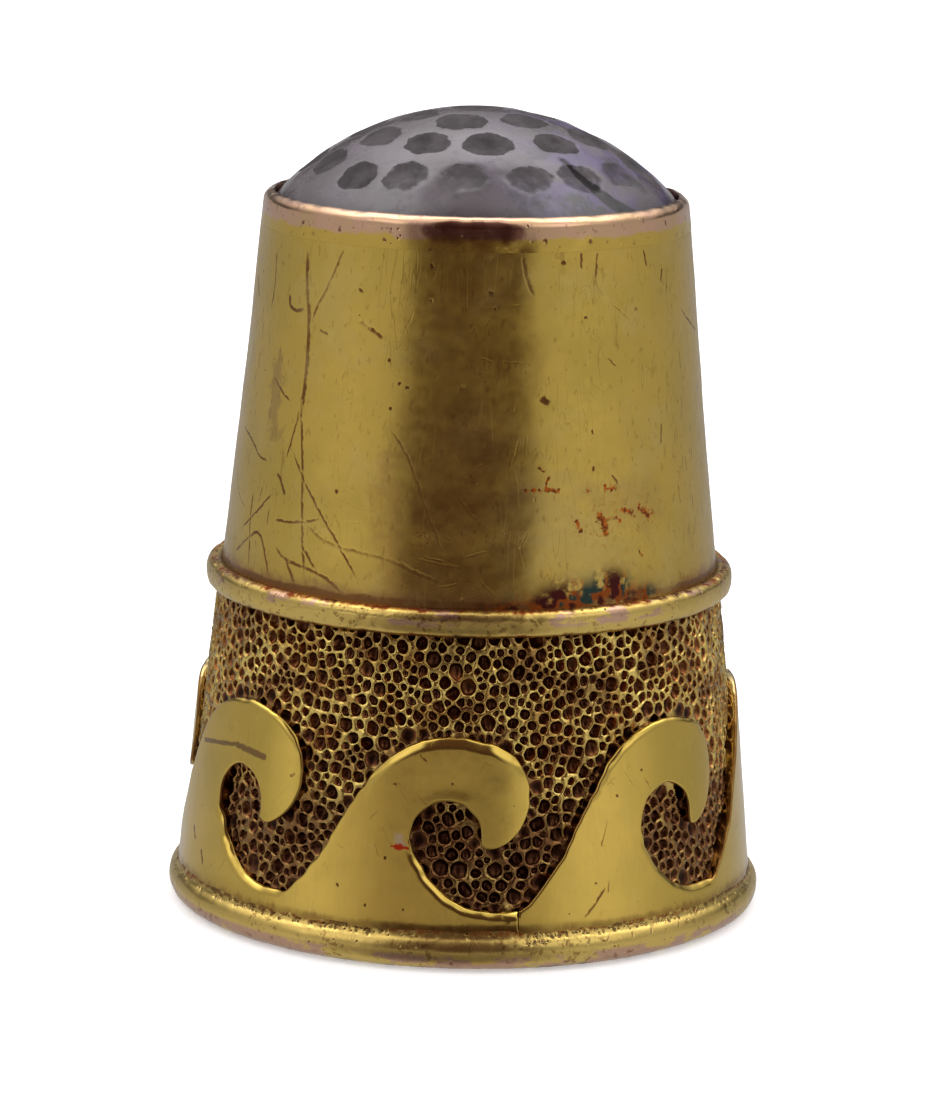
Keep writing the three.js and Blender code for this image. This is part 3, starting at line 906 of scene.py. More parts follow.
# ---------------------------------------------------------------- sleeve
# Each scratch: width mm, darkness, then its points as (angle in degrees, height).
SCRATCHES = (
    (0.135, 0.60, (-49, 19.2), (-48, 18.2), (-46, 17.1), (-45.5, 15.6), (-46.5, 14.2)),
    (0.08, 0.62, (-46.5, 15), (-44, 13.2), (-42, 11.4), (-40, 10.1)),
    (0.06, 0.62, (-46.5, 14.8), (-48, 14.1), (-50, 13.3)),
    (0.08, 0.5, (-36, 19.3), (-40, 18.3), (-44, 17.5), (-45, 17)),
    (0.10, 0.66, (-55, 17.8), (-54, 17.5), (-51, 17.4), (-48, 17.5)),
    (0.07, 0.7, (-42, 17), (-39, 16.9)),
    (0.10, 0.25, (-30, 17.35), (-28.5, 17.3), (-26.5, 17.18)),
    (0.11, 0.64, (-27.5, 17.2), (-25, 17.12), (-23, 16.95)),
    (0.07, 0.5, (-59, 15.5), (-54, 15.1), (-50, 14.9)),
    (0.06, 0.5, (-64, 18.9), (-63, 18), (-64, 17.2)),
    (0.065, 0.6, (-48, 13.6), (-42, 12.7), (-33, 11.5), (-25, 10.3)),
    (0.06, 0.62, (-75, 13.8), (-67, 13.5), (-62, 13.2), (-57, 13.1)),
    (0.09, 0.66, (-53, 12.9), (-51, 12.7), (-49, 12.3)),
    (0.06, 0.62, (-54, 12.3), (-62, 11.5), (-68, 11)),
    (0.06, 0.64, (-63, 12.2), (-63, 11.4), (-61, 10)),
    (0.07, 0.64, (-52, 11.6), (-43, 11.7), (-37, 11.9)),
    (0.075, 0.66, (-70, 10.3), (-59, 11.1), (-54, 10.5), (-52, 9.9)),
    (0.08, 0.3, (-42, 11.8), (-37, 11.4), (-30, 11.2), (-18, 11), (-6, 10.5)),
    (0.085, 0.66, (-51, 10.9), (-46, 10.6), (-36, 10.4), (-28, 9.9)),
    (0.09, 0.66, (-47, 10.7), (-43, 10)),
    (0.07, 0.62, (-42, 11.1), (-37, 10.5)),
    (0.055, 0.55, (-20, 14.6), (-15, 13.8), (-11, 12.7), (-6, 11.3)),
    (0.045, 0.15, (-36, 12.7), (-29, 12.4), (-17, 12.2)),
    (0.045, 0.15, (-12, 11.1), (-1, 10.9)),
    (0.08, 0.5, (12, 19.3), (13, 18.7), (15, 18.2)),
    (0.075, 0.72, (28, 19.35), (28, 18.9)),
    (0.075, 0.5, (33, 19.35), (32, 18.6)),
    (0.075, 0.66, (49, 19.3), (50, 18.8)),
    (0.075, 0.7, (57, 18.7), (56, 18.3)),
    (0.05, 0.35, (36, 18), (43, 17.4)),
    (0.06, 0.55, (66, 17.5), (71, 17.1), (80, 16.6)),
    (0.05, 0.55, (35, 16.5), (36.5, 16.3), (38, 16.2)),
    (0.07, 0.62, (53, 14.5), (52, 13.9)),
    (0.06, 0.5, (35, 13.3), (37, 13)),
    (0.05, 0.5, (-77, 12.5), (-72, 11.9), (-66, 11.6)),
    (0.05, 0.55, (-60, 11.9), (-58.5, 12.4)),
    (0.05, 0.6, (-55, 11.4), (-54.5, 11.9)),
)
# Each pit: angle, height, size.
SLEEVE_PITS = (
    (17.5, 15.4, 0.13), (23, 19.1, 0.08), (4, 18.3, 0.08), (-30, 18.2, 0.07),
    (-21, 16.4, 0.06), (-18, 15.8, 0.055), (-16, 15.7, 0.06), (-11, 19.0, 0.07),
    (5, 17.9, 0.05), (45, 17.7, 0.06), (-33, 12.7, 0.06), (30, 13.5, 0.06),
    (30, 14.5, 0.05), (29, 17.6, 0.05), (-20, 15.1, 0.05),
)


def sleeve_marks(mean):
    """The main scratches and pits, long scratches behind, fine light scratches all
    round, upright ones at the sides, bright ones, and small pits."""
    marks = Marks(21)
    r = marks.rng

    def flat(points):
        return [(math.radians(angle) * mean, z) for angle, z in points]

    def slanted(angle, z, turn, reach):
        return flat([(angle, z), (angle + reach * 8 * math.cos(turn), z - reach * math.sin(turn))])

    for width, dark, *points in SCRATCHES:
        marks.stroke(flat(points), width, 0.05 * width, dark)
    for angle, height, size in SLEEVE_PITS:
        marks.pit(math.radians(angle) * mean, height, size, 0.09 * size, 0.78)
    for _ in range(46):
        angle, z = r.uniform(78, 282), r.uniform(10.2, 19)
        turn, reach = r.normal(1.2, 0.5), r.uniform(0.4, 2.6)
        mid = (angle + reach * 4 * math.cos(turn), z - reach * math.sin(turn) * 0.5)
        end = (angle + reach * r.uniform(6, 9) * math.cos(turn), z - reach * math.sin(turn))
        marks.stroke(flat([(angle, z), mid, end]), r.uniform(0.04, 0.09), 0.008, r.uniform(0.3, 0.66))
    for _ in range(120):
        angle, z = r.uniform(-180, 180), r.uniform(9.9, 19.2)
        line = slanted(angle, z, r.normal(1.3, 0.6), r.uniform(0.15, 0.9))
        marks.light_stroke(line, 0.032, 0.0012, (0.05, 0.3))
    for _ in range(230):
        angle, z = r.choice((-1, 1)) * r.uniform(56, 84), r.uniform(9.9, 19.0)
        line = flat([(angle, z), (angle + r.normal(0, 0.5), z - r.uniform(0.1, 0.7))])
        marks.light_stroke(line, 0.038, 0.001, (0.2, 0.62))
    for _ in range(170):
        angle, z = r.uniform(-180, 180), r.uniform(9.9, 18.8)
        line = slanted(angle, z, r.uniform(0, math.pi), r.uniform(0.2, 1.0))
        marks.light_stroke(line, 0.034, 0.0030)
    marks.scatter(60, (-math.pi * mean, 9.9), (math.pi * mean, 19.2), 0.03, 0.012, 0.6)
    return marks


def blobs(theta, z, spots):
    """Soft spots on the sleeve, each of an angle, a height and two half sizes."""
    total = 0.0
    for angle, height, wide, tall in spots:
        round_it = (theta - math.radians(angle)) * SLEEVE_MIDDLE / wide
        total = total + np.exp(-(round_it**2 + ((z - height) / tall) ** 2))
    return total


def body_sleeve():
    foot = SLEEVE_LOW.z + 0.82
    outside = np.linspace(foot, SLEEVE_HIGH.z, 60)
    path = np.stack([sleeve_radius(outside), outside], -1)
    lap = SLEEVE_LOW.z
    back = [(sleeve_radius(z) - WALL, z) for z in np.linspace(SLEEVE_HIGH.z, foot, 12)]
    back += [(band_radius(lap) - WALL, lap), (band_radius(lap) - WALL + 0.2, lap)]
    back += [(band_radius(foot) - WALL + 0.2, foot - 0.02)]
    marks = sleeve_marks(path[:, 0].mean())

    def relief(theta, z):
        soft = 0.005 * waviness(theta, z, 23, 4.0) + 0.0010 * waviness(theta, z, 24, 1.2)
        return np.minimum(soft - 0.006, 0.0)

    def rust(theta, z):
        spots = ((34, 12.9, 0.25, 0.12), (31.5, 12.0, 0.22, 0.42), (39, 12.2, 0.22, 0.15))
        spots += ((45, 12.1, 0.4, 0.2), (25, 11.9, 0.15, 0.1), (200, 12.5, 0.6, 0.3))
        haze = 0.35 * blobs(theta, z, [(38, 12.0, 1.8, 0.8)])
        return np.clip(1.4 * blobs(theta, z, spots) + haze, 0, 1)

    def stain(theta, z):
        spots = ((27, 9.95, 1.5, 0.45), (34, 10.35, 0.45, 0.35), (22, 10.0, 0.5, 0.35))
        spots += ((44, 9.85, 0.35, 0.22), (12, 9.8, 0.9, 0.16), (150, 9.9, 1.6, 0.3))
        return np.clip(1.5 * blobs(theta, z, spots), 0, 1)

    layers = {"rust": rust, "stain": stain}
    made = engraved("sleeve_gold", path, back, 230, 0.2, marks, relief, layers)
    made.data.materials.append(sleeve_material())
    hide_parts("body_sleeve")


# ---------------------------------------------------------------- waves
CURLS = (-46, 2.5, 50.8, 103.4, 156.1, 208.7, 261.4)
RISES = (0.26, 0, 0.1, 0, 0, 0, 0)
VALLEY = 1.6
SEAM = math.radians(CURLS[1]) + 1.15 / DEVELOP
SEAM_GAP = 0.004


def wave_outline(stretch, rise):
    """One wave from its left notch over the crest and round the curl to the right
    notch. The origin is under the curl's centre, and rise makes it taller."""
    flank = smooth_line(
        [(-5.47, VALLEY), (-5.1, 1.9), (-4.28, 2.97), (-3.84, 3.8), (-3.1, 4.985)], 16
    )
    back = np.concatenate([flank, arc(-0.7, 3.6, 146, 76, 60, 2.77)])
    back[:, 0] = np.where(
        back[:, 0] < -0.7, -0.7 + (back[:, 0] + 0.7) * stretch, back[:, 0]
    )
    front = np.concatenate(
        [
            arc(0, 4.75, 80, -71, 70, 1.5),
            [(0.24, 3.32), (0.12, 3.42)],
            arc(-0.73, 3.68, 2, 206, 70, 0.85, 1.09),
            arc(0.55, 3.9, 212, 276, 50, 2.3),
        ]
    )
    wave = np.concatenate([back, front])
    wave[:, 1] = VALLEY + (wave[:, 1] - VALLEY) * (1 + rise / (CREST - VALLEY))
    return wave


def strip_top():
    """The whole upper edge of the strip, from the seam once round to the seam, as
    (length, height) on the developed band."""
    left = SEAM
    lines = []
    for index in (2, 3, 4, 5, 6, 0, 1):
        curl = math.radians(CURLS[index])
        while curl < left:
            curl += TURN
        reach = (curl - left) * DEVELOP
        line = wave_outline((reach - 0.7) / (5.47 - 0.7), RISES[index])
        line[:, 0] += curl * DEVELOP
        lines.append(line)
        left = curl + 1.15 / DEVELOP
    return np.concatenate(lines)


def rounded(line, step, passes):
    """Even steps with the sharp corners eased."""
    line = resample(line, step)
    for _ in range(passes):
        line[1:-1] = line[1:-1] * 0.5 + (line[:-2] + line[2:]) * 0.25
    return line


def strip_outline():
    """The strip's whole edge, anticlockwise."""
    top = rounded(strip_top(), 0.06, 2)
    theta = top[:, 0] / DEVELOP
    wobble = [waviness(theta, top[:, 1], seed, 0.8) for seed in (41, 42)]
    top = top + 0.010 * np.stack(wobble, -1)
    top[0, 0] = SEAM * DEVELOP + SEAM_GAP / 2
    top[-1, 0] = (SEAM + TURN) * DEVELOP - SEAM_GAP / 2
    low = STRIP_LOW.z
    left = resample([(top[0, 0], low), tuple(top[0])], 0.08)[:-1]
    right = resample([tuple(top[-1]), (top[-1, 0], low)], 0.08)[1:]
    base = resample([(top[-1, 0], low), (top[0, 0], low)], 0.12)[1:-1]
    return np.concatenate([left, top, right, base])[::-1]


def inner_rows(outline, offsets):
    """Points set in from the outline, without those that crowd a corner."""
    tangent = loop_tangent(outline)
    inward = np.stack([-tangent[:, 1], tangent[:, 0]], -1)
    rows = []
    for offset in offsets:
        row = outline + inward * offset
        rows.append(row[distance_to(row, outline) > 0.93 * offset])
    return np.concatenate(rows)


# Marks on the waves: width mm, darkness, then (angle, height) points.
WAVE_SCRATCHES = (
    (0.055, 0.64, (-9.2, 5.93), (-7.6, 5.70)),
    (0.060, 0.55, (24, 1.35), (25.6, 1.57), (28.9, 2.12)),
    (0.045, 0.45, (28, 3.22), (29.5, 3.99)),
    (0.045, 0.40, (29.5, 1.95), (29.5, 2.31)),
    (0.050, 0.45, (29.5, 4.93), (31.6, 5.15)),
    (0.040, 0.35, (30.2, 5.12), (31.2, 4.90)),
    (0.045, 0.50, (38.8, 4.97), (40.8, 4.59)),
    (0.120, 0.60, (-70.9, 2.46), (-69.9, 2.30), (-68.9, 2.08)),
    (0.110, 0.60, (-65.3, 1.96), (-64.4, 1.75), (-63.7, 1.51)),
    (0.070, 0.60, (-37.9, 4.81), (-36.7, 4.95)),
)
WAVE_PITS = ((-15.3, 3.0), (-18.9, 1.65), (-24.9, 2.1), (31.9, 4.6), (38.1, 5.2))


def unwrapped(point):
    """A (degrees, height) point on the strip, which is laid flat from the seam on."""
    angle = math.radians(point[0])
    return angle * DEVELOP + (TURN * DEVELOP if angle < SEAM else 0), point[1]


def frieze_marks():
    marks = Marks(52)
    for width, dark, *points in WAVE_SCRATCHES:
        marks.stroke([unwrapped(point) for point in points], width, 0.004, dark)
    for point in WAVE_PITS:
        marks.pit(*unwrapped(point), 0.045, 0.008, 0.8)
    begin = SEAM * DEVELOP
    r = marks.rng
    for _ in range(90):
        s, z = begin + r.uniform(0.3, TURN * DEVELOP - 0.3), r.uniform(1.2, 6)
        turn, reach = r.uniform(0, math.pi), r.uniform(0.15, 0.8)
        end = (s + reach * math.cos(turn), z + reach * math.sin(turn))
        marks.stroke([(s, z), end], 0.034, 0.0012, r.uniform(0.05, 0.35))
    marks.scatter(70, (begin, 1.15), (begin + TURN * DEVELOP, 6.2), 0.020, 0.006, 0.8)
    return marks.table()


# How the strip's face is worn: radius of its edges, depth and width of the crests'
# bevels, depth and width of the sills between waves, and drop of the curls' heads.
TIGHT = 0.05
BEVEL, BEVEL_WIDE = 0.44, 0.12
SILL, SILL_WIDE = 0.12, 0.17
HEAD_DROP = 0.11


def facing_up(points, outline):
    """How far the outline's nearest edge faces upwards and sideways, from -1 to 1."""
    tangent = loop_tangent(outline)
    for _ in range(14):
        tangent = (np.roll(tangent, 1, 0) + 2 * tangent + np.roll(tangent, -1, 0)) / 4
    found = nearest(points, outline, INDEX)
    return -tangent[found, 0], tangent[found, 1]


def strip_face(outline):
    """Points and triangles that fill the strip laid flat, with each point's lift and
    darkness from the marks."""
    rows = inner_rows(outline, (0.015, 0.035, 0.06, 0.10, 0.15, 0.20, 0.25, 0.31, 0.39, 0.49))
    low, high = outline.min(0), outline.max(0)
    rng = np.random.default_rng(50)
    steps = (np.arange(low[k], high[k], 0.18) for k in (0, 1))
    spots = np.stack(np.meshgrid(*steps), -1).reshape(-1, 2)
    spots = spots + rng.uniform(-0.03, 0.03, spots.shape)
    spots = spots[inside(spots, outline)]
    spots = spots[distance_to(spots, outline) > 0.56]
    cut = frieze_marks()
    cut = cut[inside(cut[:, :2], outline)]
    cut = cut[distance_to(cut[:, :2], outline) > 0.13]
    spots = spots[nearest(spots, cut[:, :2]) > 0.04]
    flat = np.concatenate([outline, rows, spots, cut[:, :2]])
    count = len(outline)
    edges = [(i, (i + 1) % count) for i in range(count)]
    points, _, triangles, origin, _, _ = delaunay_2d_cdt(
        [Vector(p) for p in flat], edges, [list(range(count))], 1, 1e-5
    )
    extra = np.zeros((len(flat) + 1, 2))
    extra[len(flat) - len(cut) : -1] = cut[:, 2:]
    extra = extra[np.array([o[0] if o else len(flat) for o in origin])]
    return np.array([tuple(p) for p in points]), [list(t) for t in triangles], extra


def strip_relief(points, outline, depth, far_side):
    """How the strip's face falls off towards its worn edges, and how dark those edges are
    painted: a thin line of dirt, and painted shade that is stronger on the far sides.
    depth is how far each point lies in from the outline."""
    theta = points[:, 0] / DEVELOP
    z = points[:, 1]
    low, high = outline.min(0), outline.max(0)
    seam_line = np.minimum(points[:, 0] - low[0], high[0] - points[:, 0])
    free = smooth(0.0, 0.25, z - STRIP_LOW.z) * smooth(0.0, 0.12, seam_line + (z > VALLEY))
    up, aside = facing_up(points, outline)
    d = np.clip(TIGHT - depth, 0, TIGHT)
    lift = np.sqrt(np.maximum(TIGHT**2 - d**2, 0)) - TIGHT
    crest = smooth(0.40, 0.72, up) * smooth(4.4, 5.2, z) * (1 - 0.75 * far_side)
    in_front = np.clip(np.cos(theta - math.radians(CURLS[1])), 0, 1) ** 8
    wide = BEVEL_WIDE + BEVEL_WIDE * in_front
    lift -= BEVEL * wide * crest * np.clip(1 - depth / wide, 0, 1) ** 1.25
    sill = smooth(0.25, 0.6, up) * smooth(-0.3, 0.1, aside) * smooth(4.2, 3.6, z)
    lift -= SILL * sill * np.clip(1 - depth / SILL_WIDE, 0, 1) ** 1.25
    past = (theta[:, None] - np.radians(CURLS) + math.pi) % TURN - math.pi
    past = past[np.arange(len(theta)), np.abs(past).argmin(1)] * DEVELOP
    head = np.clip((past - 0.2) / 1.3, 0, 1) ** 2 * (past < 1.6) * smooth(2.2, 2.8, z)
    lift -= HEAD_DROP * head
    lift *= free
    lift += 0.003 * (waviness(theta, z, 51, 3.0) - 0.8) * smooth(0, 0.5, depth)
    # Edges that are neither crest nor sill are painted dark: a thin line of dirt, with painted shade
    # that is stronger on the far sides.
    edge_dirt_and_shade = smooth(0.05, 0.0, depth) * (1 - np.maximum(crest, sill)) * free
    return np.minimum(lift, 0.0), (0.42 + 0.30 * far_side) * edge_dirt_and_shade


def wave_frieze(outline):
    flat, triangles, extra = strip_face(outline)
    total = len(flat)
    theta = flat[:, 0] / DEVELOP
    z = flat[:, 1]
    depth = distance_to(flat, outline)
    depth[depth < 1e-4] = 0
    far_side = smooth(0.80, 0.95, np.abs(np.sin(theta)))
    lift, worn = strip_relief(flat, outline, depth, far_side)
    radius = strip_radius(z) + 0.015 * smooth(1.3, 0.98, z) + lift + extra[:, 0]
    front = round_axis(radius, theta, z)
    back = round_axis(band_radius(z) - 0.08, theta, z)
    border = {(t[k], t[(k + 1) % 3]) for t in triangles for k in range(3)}
    rim = [(a, b) for a, b in border if (b, a) not in border]
    faces = triangles + [[a + total for a in reversed(t)] for t in triangles]
    loop = sorted({a for a, _ in rim})
    copy = {a: 2 * total + i for i, a in enumerate(loop)}
    faces += [[copy[b], copy[a], a + total, b + total] for a, b in rim]
    behind = np.zeros(total + len(loop))
    # The dark layer takes the marks, and the edges' dirt and painted shade.
    layers = {
        "wall": np.concatenate([np.zeros(total), behind + 1]),
        "dark": np.concatenate([np.maximum(extra[:, 1], worn), behind]),
    }
    points = np.concatenate([front, back, front[loop]])
    made = piece("wave_strip_gold", points, faces, layers)
    made.data.materials.append(frieze_material())
    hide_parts("wave_frieze")


# ---------------------------------------------------------------- punched band
PUNCHED_LOW = 1.0
WEB = 0.028


def punch_places():
    """Punch marks of mixed sizes thrown on the band until they nearly touch, as
    (s, z, size) rows."""
    r = random.Random(11)
    around = TURN * DEVELOP
    low, high = PUNCHED_LOW + 0.1, BEAD_LOW.z + 0.06
    cell = 0.5
    across = int(around / cell)
    grid = {}
    found = []

    def near(s, z):
        i, j = int(s / around * across), int(z / cell)
        for a in (i - 1, i, i + 1):
            for b in (j - 1, j, j + 1):
                yield from grid.get((a % across, b), ())

    def throw(size, tries, gap):
        for _ in range(tries):
            s, z = r.uniform(0, around), r.uniform(low, high)
            radius = size * r.uniform(0.85, 1.2)
            clear = True
            for k in near(s, z):
                ds = abs(found[k][0] - s)
                ds = min(ds, around - ds)
                if math.hypot(ds, found[k][1] - z) < radius + found[k][2] + gap:
                    clear = False
                    break
            if clear:
                found.append((s, z, radius))
                key = (int(s / around * across) % across, int(z / cell))
                grid.setdefault(key, []).append(len(found) - 1)

    throw(0.200, 700, 0.01)
    throw(0.160, 3200, 0.01)
    throw(0.125, 15000, 0.008)
    throw(0.096, 30000, 0.004)
    return np.array(found), around


def punch_outline(index, places, around, rng):
    """The rim of one punch mark as radii at even angles. It swells until it meets
    its neighbours, and a thin web of metal is left between."""
    s, z, size = places[index]
    ds = (places[:, 0] - s + around / 2) % around - around / 2
    dz = places[:, 1] - z
    gap = np.hypot(ds, dz)
    near = (gap < 0.9) & (gap > 0)
    gap, bearing, other = gap[near], np.arctan2(dz[near], ds[near]), places[near, 2]
    limit = (gap**2 + size**2 - other**2) / (2 * gap) - WEB / 2 * rng.uniform(0.7, 1.5, len(gap))
    count = int(np.clip(round(size * 80), 8, 14))
    angle = rng.uniform(0, TURN) + np.arange(count) * TURN / count
    facing = np.cos(angle[:, None] - bearing)
    reach = np.where(facing > 0.12, limit / np.maximum(facing, 0.12), 9.0).min(1)
    flat_web = 0.5 + 0.5 * float(waviness(s / DEVELOP, z, 64, 2.2))
    full = rng.uniform(1.32, 1.50) - 0.24 * np.clip(flat_web - 0.2, 0, 1)
    swell = size * full * (1 + 0.09 * np.cos(2 * angle + rng.uniform(0, TURN)))
    return angle, np.clip(np.minimum(reach, swell), 0.3 * size, None)


def copies(points, around):
    """Points and the same points one turn on and one turn back."""
    return points, points + [around, 0], points - [around, 0]


def past_seam(points, around):
    """Where points lie on the wall laid flat from the strip's seam on, three times."""
    s = points[:, 0] % around
    s = s + np.where(s < SEAM * DEVELOP, around, 0)
    return copies(np.column_stack([s, points[:, 1]]), around)


# Rings of points in a punch mark: share of its size, of its depth, of its shade.
PUNCH_RINGS = ((1.0, 0.0, 0.0), (0.87, 0.36, 0.36), (0.50, 0.80, 0.75))


def punch_cells(places, around, outline, rng, first):
    """The points of all punch marks that aren't under the strip, as (s, z, drop, shade)
    rows, and the pairs of points that make their rims. first is the first one's index."""
    flat = past_seam(places[:, :2], around)
    covered = np.any([inside(c, outline) for c in flat], 0)
    away = np.min([distance_to(c, outline) for c in flat], 0)
    links = []
    cells = []
    for index in np.nonzero(~covered | (away < 0.10))[0]:
        angle, reach = punch_outline(index, places, around, rng)
        size = places[index, 2]
        beside = 0.0 if covered[index] else max(0.0, away[index] - 1.1 * size)
        whole = min(0.24, 1.05 * size + 0.05) * rng.uniform(0.8, 1.1)
        depth = min(whole, 0.07 + 0.9 * beside)
        # Painted shade: shallow marks get a stronger shade value, standing in for the shade that falls
        # in a deep one.
        painted_shade_boost = 1 + 0.8 * (1 - depth / whole)
        tilt = rng.uniform(0, TURN)
        ring = first + np.arange(len(angle))
        links.append(np.stack([ring, np.roll(ring, -1)], -1))
        for share, fall, shade in PUNCH_RINGS:
            use = slice(None, None, 2) if share == 0.50 and len(angle) % 2 == 0 else slice(None)
            a, r = angle[use], reach[use] * share
            place = places[index, :2] + np.stack([r * np.cos(a), r * np.sin(a)], -1)
            drop = -depth * fall * (1 + 0.15 * np.cos(a - tilt))
            cells.append(np.column_stack([place, drop, np.full(len(a), shade * painted_shade_boost)]))
            first += len(a)
        cells.append(np.array([[*places[index, :2], -depth, painted_shade_boost]]))
        first += 1
    return np.concatenate(cells), np.concatenate(links)


def ground_grime(theta, z, edge_gap):
    """Grime beside the strip's edge, in the curls, under the upper bead and in clouds."""
    under_bead = z + 0.05 * waviness(theta, z, 72, 0.6)
    parts = (
        0.75 * smooth(0.24, 0.05, edge_gap),
        0.95 * smooth(4.9, 3.9, z) * smooth(1.3, 0.7, edge_gap),
        0.8 * smooth(BEAD_LOW.z - 0.28, BEAD_LOW.z, under_bead),
        0.65 * smooth(0.1, 1.3, waviness(theta, z, 73, 2.6)),
    )
    return np.max(parts, 0)


def stippled_band(outline):
    low, high = PUNCHED_LOW, JOINT - 0.02
    columns = 200
    places, around = punch_places()
    rng = np.random.default_rng(63)
    s = np.arange(columns) * around / columns
    rims = [np.stack([s, np.full(columns, z)], -1) for z in (low, high)]
    steps = np.arange(0, around - 0.1, 0.4), np.arange(low + 0.3, high - 0.2, 0.4)
    field = np.stack(np.meshgrid(*steps), -1).reshape(-1, 2)
    field += rng.uniform(-0.08, 0.08, field.shape)
    cells, links = punch_cells(places, around, outline, rng, 2 * columns)
    marked = np.concatenate(copies(cells[:, :2], around))
    field = field[nearest(field, marked) > 0.12]
    flat = np.concatenate([*rims, cells[:, :2], field])
    flat[:, 1] = np.clip(flat[:, 1], low, high)
    faces = wrapped_faces(flat, 0.0, around, links)
    total = len(flat)
    drop, pit = np.zeros((2, total))
    drop[2 * columns : 2 * columns + len(cells)] = cells[:, 2]
    pit[2 * columns : 2 * columns + len(cells)] = cells[:, 3]
    theta = flat[:, 0] / DEVELOP
    z = flat[:, 1]
    ridge = 0.014 * waviness(theta, z, 71, 0.5) + rng.normal(0, 0.010, total)
    radius = band_radius(z) + np.minimum(ridge - 0.012, 0.006) + drop
    edge_gap = np.min([nearest(c, outline) for c in past_seam(flat, around)], 0)
    points = [round_axis(radius, theta, z)]
    for height in (high, JOINT - 0.82, low):
        inner = np.full(columns, band_radius(height) - WALL)
        points.append(round_axis(inner, s / DEVELOP, height))
    rings = [columns] + [total + i * columns for i in range(3)] + [0]
    faces += ring_faces(rings, columns)
    hidden = np.zeros(3 * columns)
    grime = ground_grime(theta, z, edge_gap)
    layers = {"pit": np.concatenate([pit, hidden]), "grime": np.concatenate([grime, hidden])}
    made = piece("punched_band_gold", np.concatenate(points), faces, layers)
    made.data.materials.append(ground_material())
    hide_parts("stippled_band")


# ---------------------------------------------------------------- setting
COLLAR_PITS = ((-52, 19.8), (-38, 19.75), (-24, 19.6), (18, 19.7), (31, 19.65), (60, 19.9))


def bezel_collar():
    low = SLEEVE_HIGH.z + 0.002
    inner = STONE_GIRDLE + 0.05
    outer = sleeve_radius(low) - 0.004
    shoulder = 0.31
    lean = 0.06
    bend = COLLAR_HIGH.z - shoulder
    lip = 5.66
    path = np.concatenate(
        [
            resample([(outer, low), (outer - lean, bend)], 0.06)[:-1],
            arc(outer - lean - shoulder, bend, 5, 84, 16, shoulder),
            [(lip + 0.03, COLLAR_HIGH.z + 0.002)],
        ]
    )
    path = resample(path, 0.03)
    path[:, 1] = np.maximum.accumulate(path[:, 1] + np.arange(len(path)) * 1e-6)
    girdle = dome_height(STONE_GIRDLE)
    back = [(lip, dome_height(lip) + 0.03), (inner, girdle), (inner, girdle - 0.2), (inner, low)]
    marks = Marks(33)
    place = arc_length(path[:, 0].mean())
    corners = (place(-180), low + 0.1), (place(180), COLLAR_HIGH.z - 0.03)
    marks.scatter(80, *corners, 0.03, 0.014, 0.7)
    for angle, height in COLLAR_PITS:
        marks.pit(place(angle), height, 0.07, 0.010, 0.9)

    def relief(theta, z):
        lift = 0.006 * waviness(theta, z, 34, 2.2) - 0.006
        top = smooth(COLLAR_HIGH.z - 0.15, COLLAR_HIGH.z, z)
        return np.minimum(lift + 0.006 * top * (waviness(theta, z, 35, 1.4) - 0.9), 0)

    made = engraved("collar_rose_gold", path, back, 400, 0.05, marks, relief)
    made.data.materials.append(collar_material())
    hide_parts("bezel_collar")


DIMPLE_DEPTH = 0.055
FLAW_DEPTH = 0.05
STONE_WEAR = 0.012
# Rings of ground dimples: how many, polar angle, first one's angle, size.
DIMPLE_RINGS = ((1, 0, 0, 0.9), (6, 13.4, -15, 0.9), (11, 24.5, 7.4, 0.88), (17, 36.6, -4, 0.84))


def heading(polar, azimuth):
    """Unit direction from the dome's centre."""
    return np.array(
        [
            math.sin(polar) * math.sin(azimuth),
            -math.sin(polar) * math.cos(azimuth),
            math.cos(polar),
        ]
    )


def dimple_field(direction):
    """0 to 1 depth of the ground dimples at unit directions from the dome's centre."""
    r = np.random.default_rng(81)
    depth = np.zeros(direction.shape[:-1])
    for count, polar, first, size in DIMPLE_RINGS:
        for k in range(count):
            turn = math.radians(first + 360 / count * k + r.normal(0, 0.9))
            axis = heading(math.radians(polar + r.normal(0, 0.5)), turn)
            east = np.array([math.cos(turn), math.sin(turn), 0.0])
            north = np.cross(axis, east)
            wide = size * r.uniform(0.92, 1.06)
            tall = 0.83 * size * r.uniform(0.92, 1.06)
            u = direction @ east * STONE_SPHERE / wide
            v = direction @ north * STONE_SPHERE / tall
            angle = np.arctan2(v, u)
            ragged = 1.0
            for n in (2, 3, 4, 7):
                ragged = ragged + 0.030 * np.cos(n * angle + r.uniform(0, TURN))
            d = np.hypot(u, v) / ragged
            bowl = np.where(direction @ axis > 0.8, np.clip(1 - d**2, 0, 1), 0)
            depth = np.maximum(depth, bowl)
    return depth


def flaw_field(direction):
    """A natural flaw that runs down the stone's right front, from 0 to 1."""
    line = smooth_line([(37, 31.0), (40, 37.0), (44, 43.5), (50, 48.0)], 10)
    total = np.zeros(direction.shape[:-1])
    for azimuth, polar in line:
        axis = heading(math.radians(polar), math.radians(azimuth))
        away = np.linalg.norm(direction - axis, axis=-1) * STONE_SPHERE
        size = 0.10 + 0.26 * smooth(31, 46, polar)
        total = np.maximum(total, np.exp(-((away / size) ** 2)))
    return total


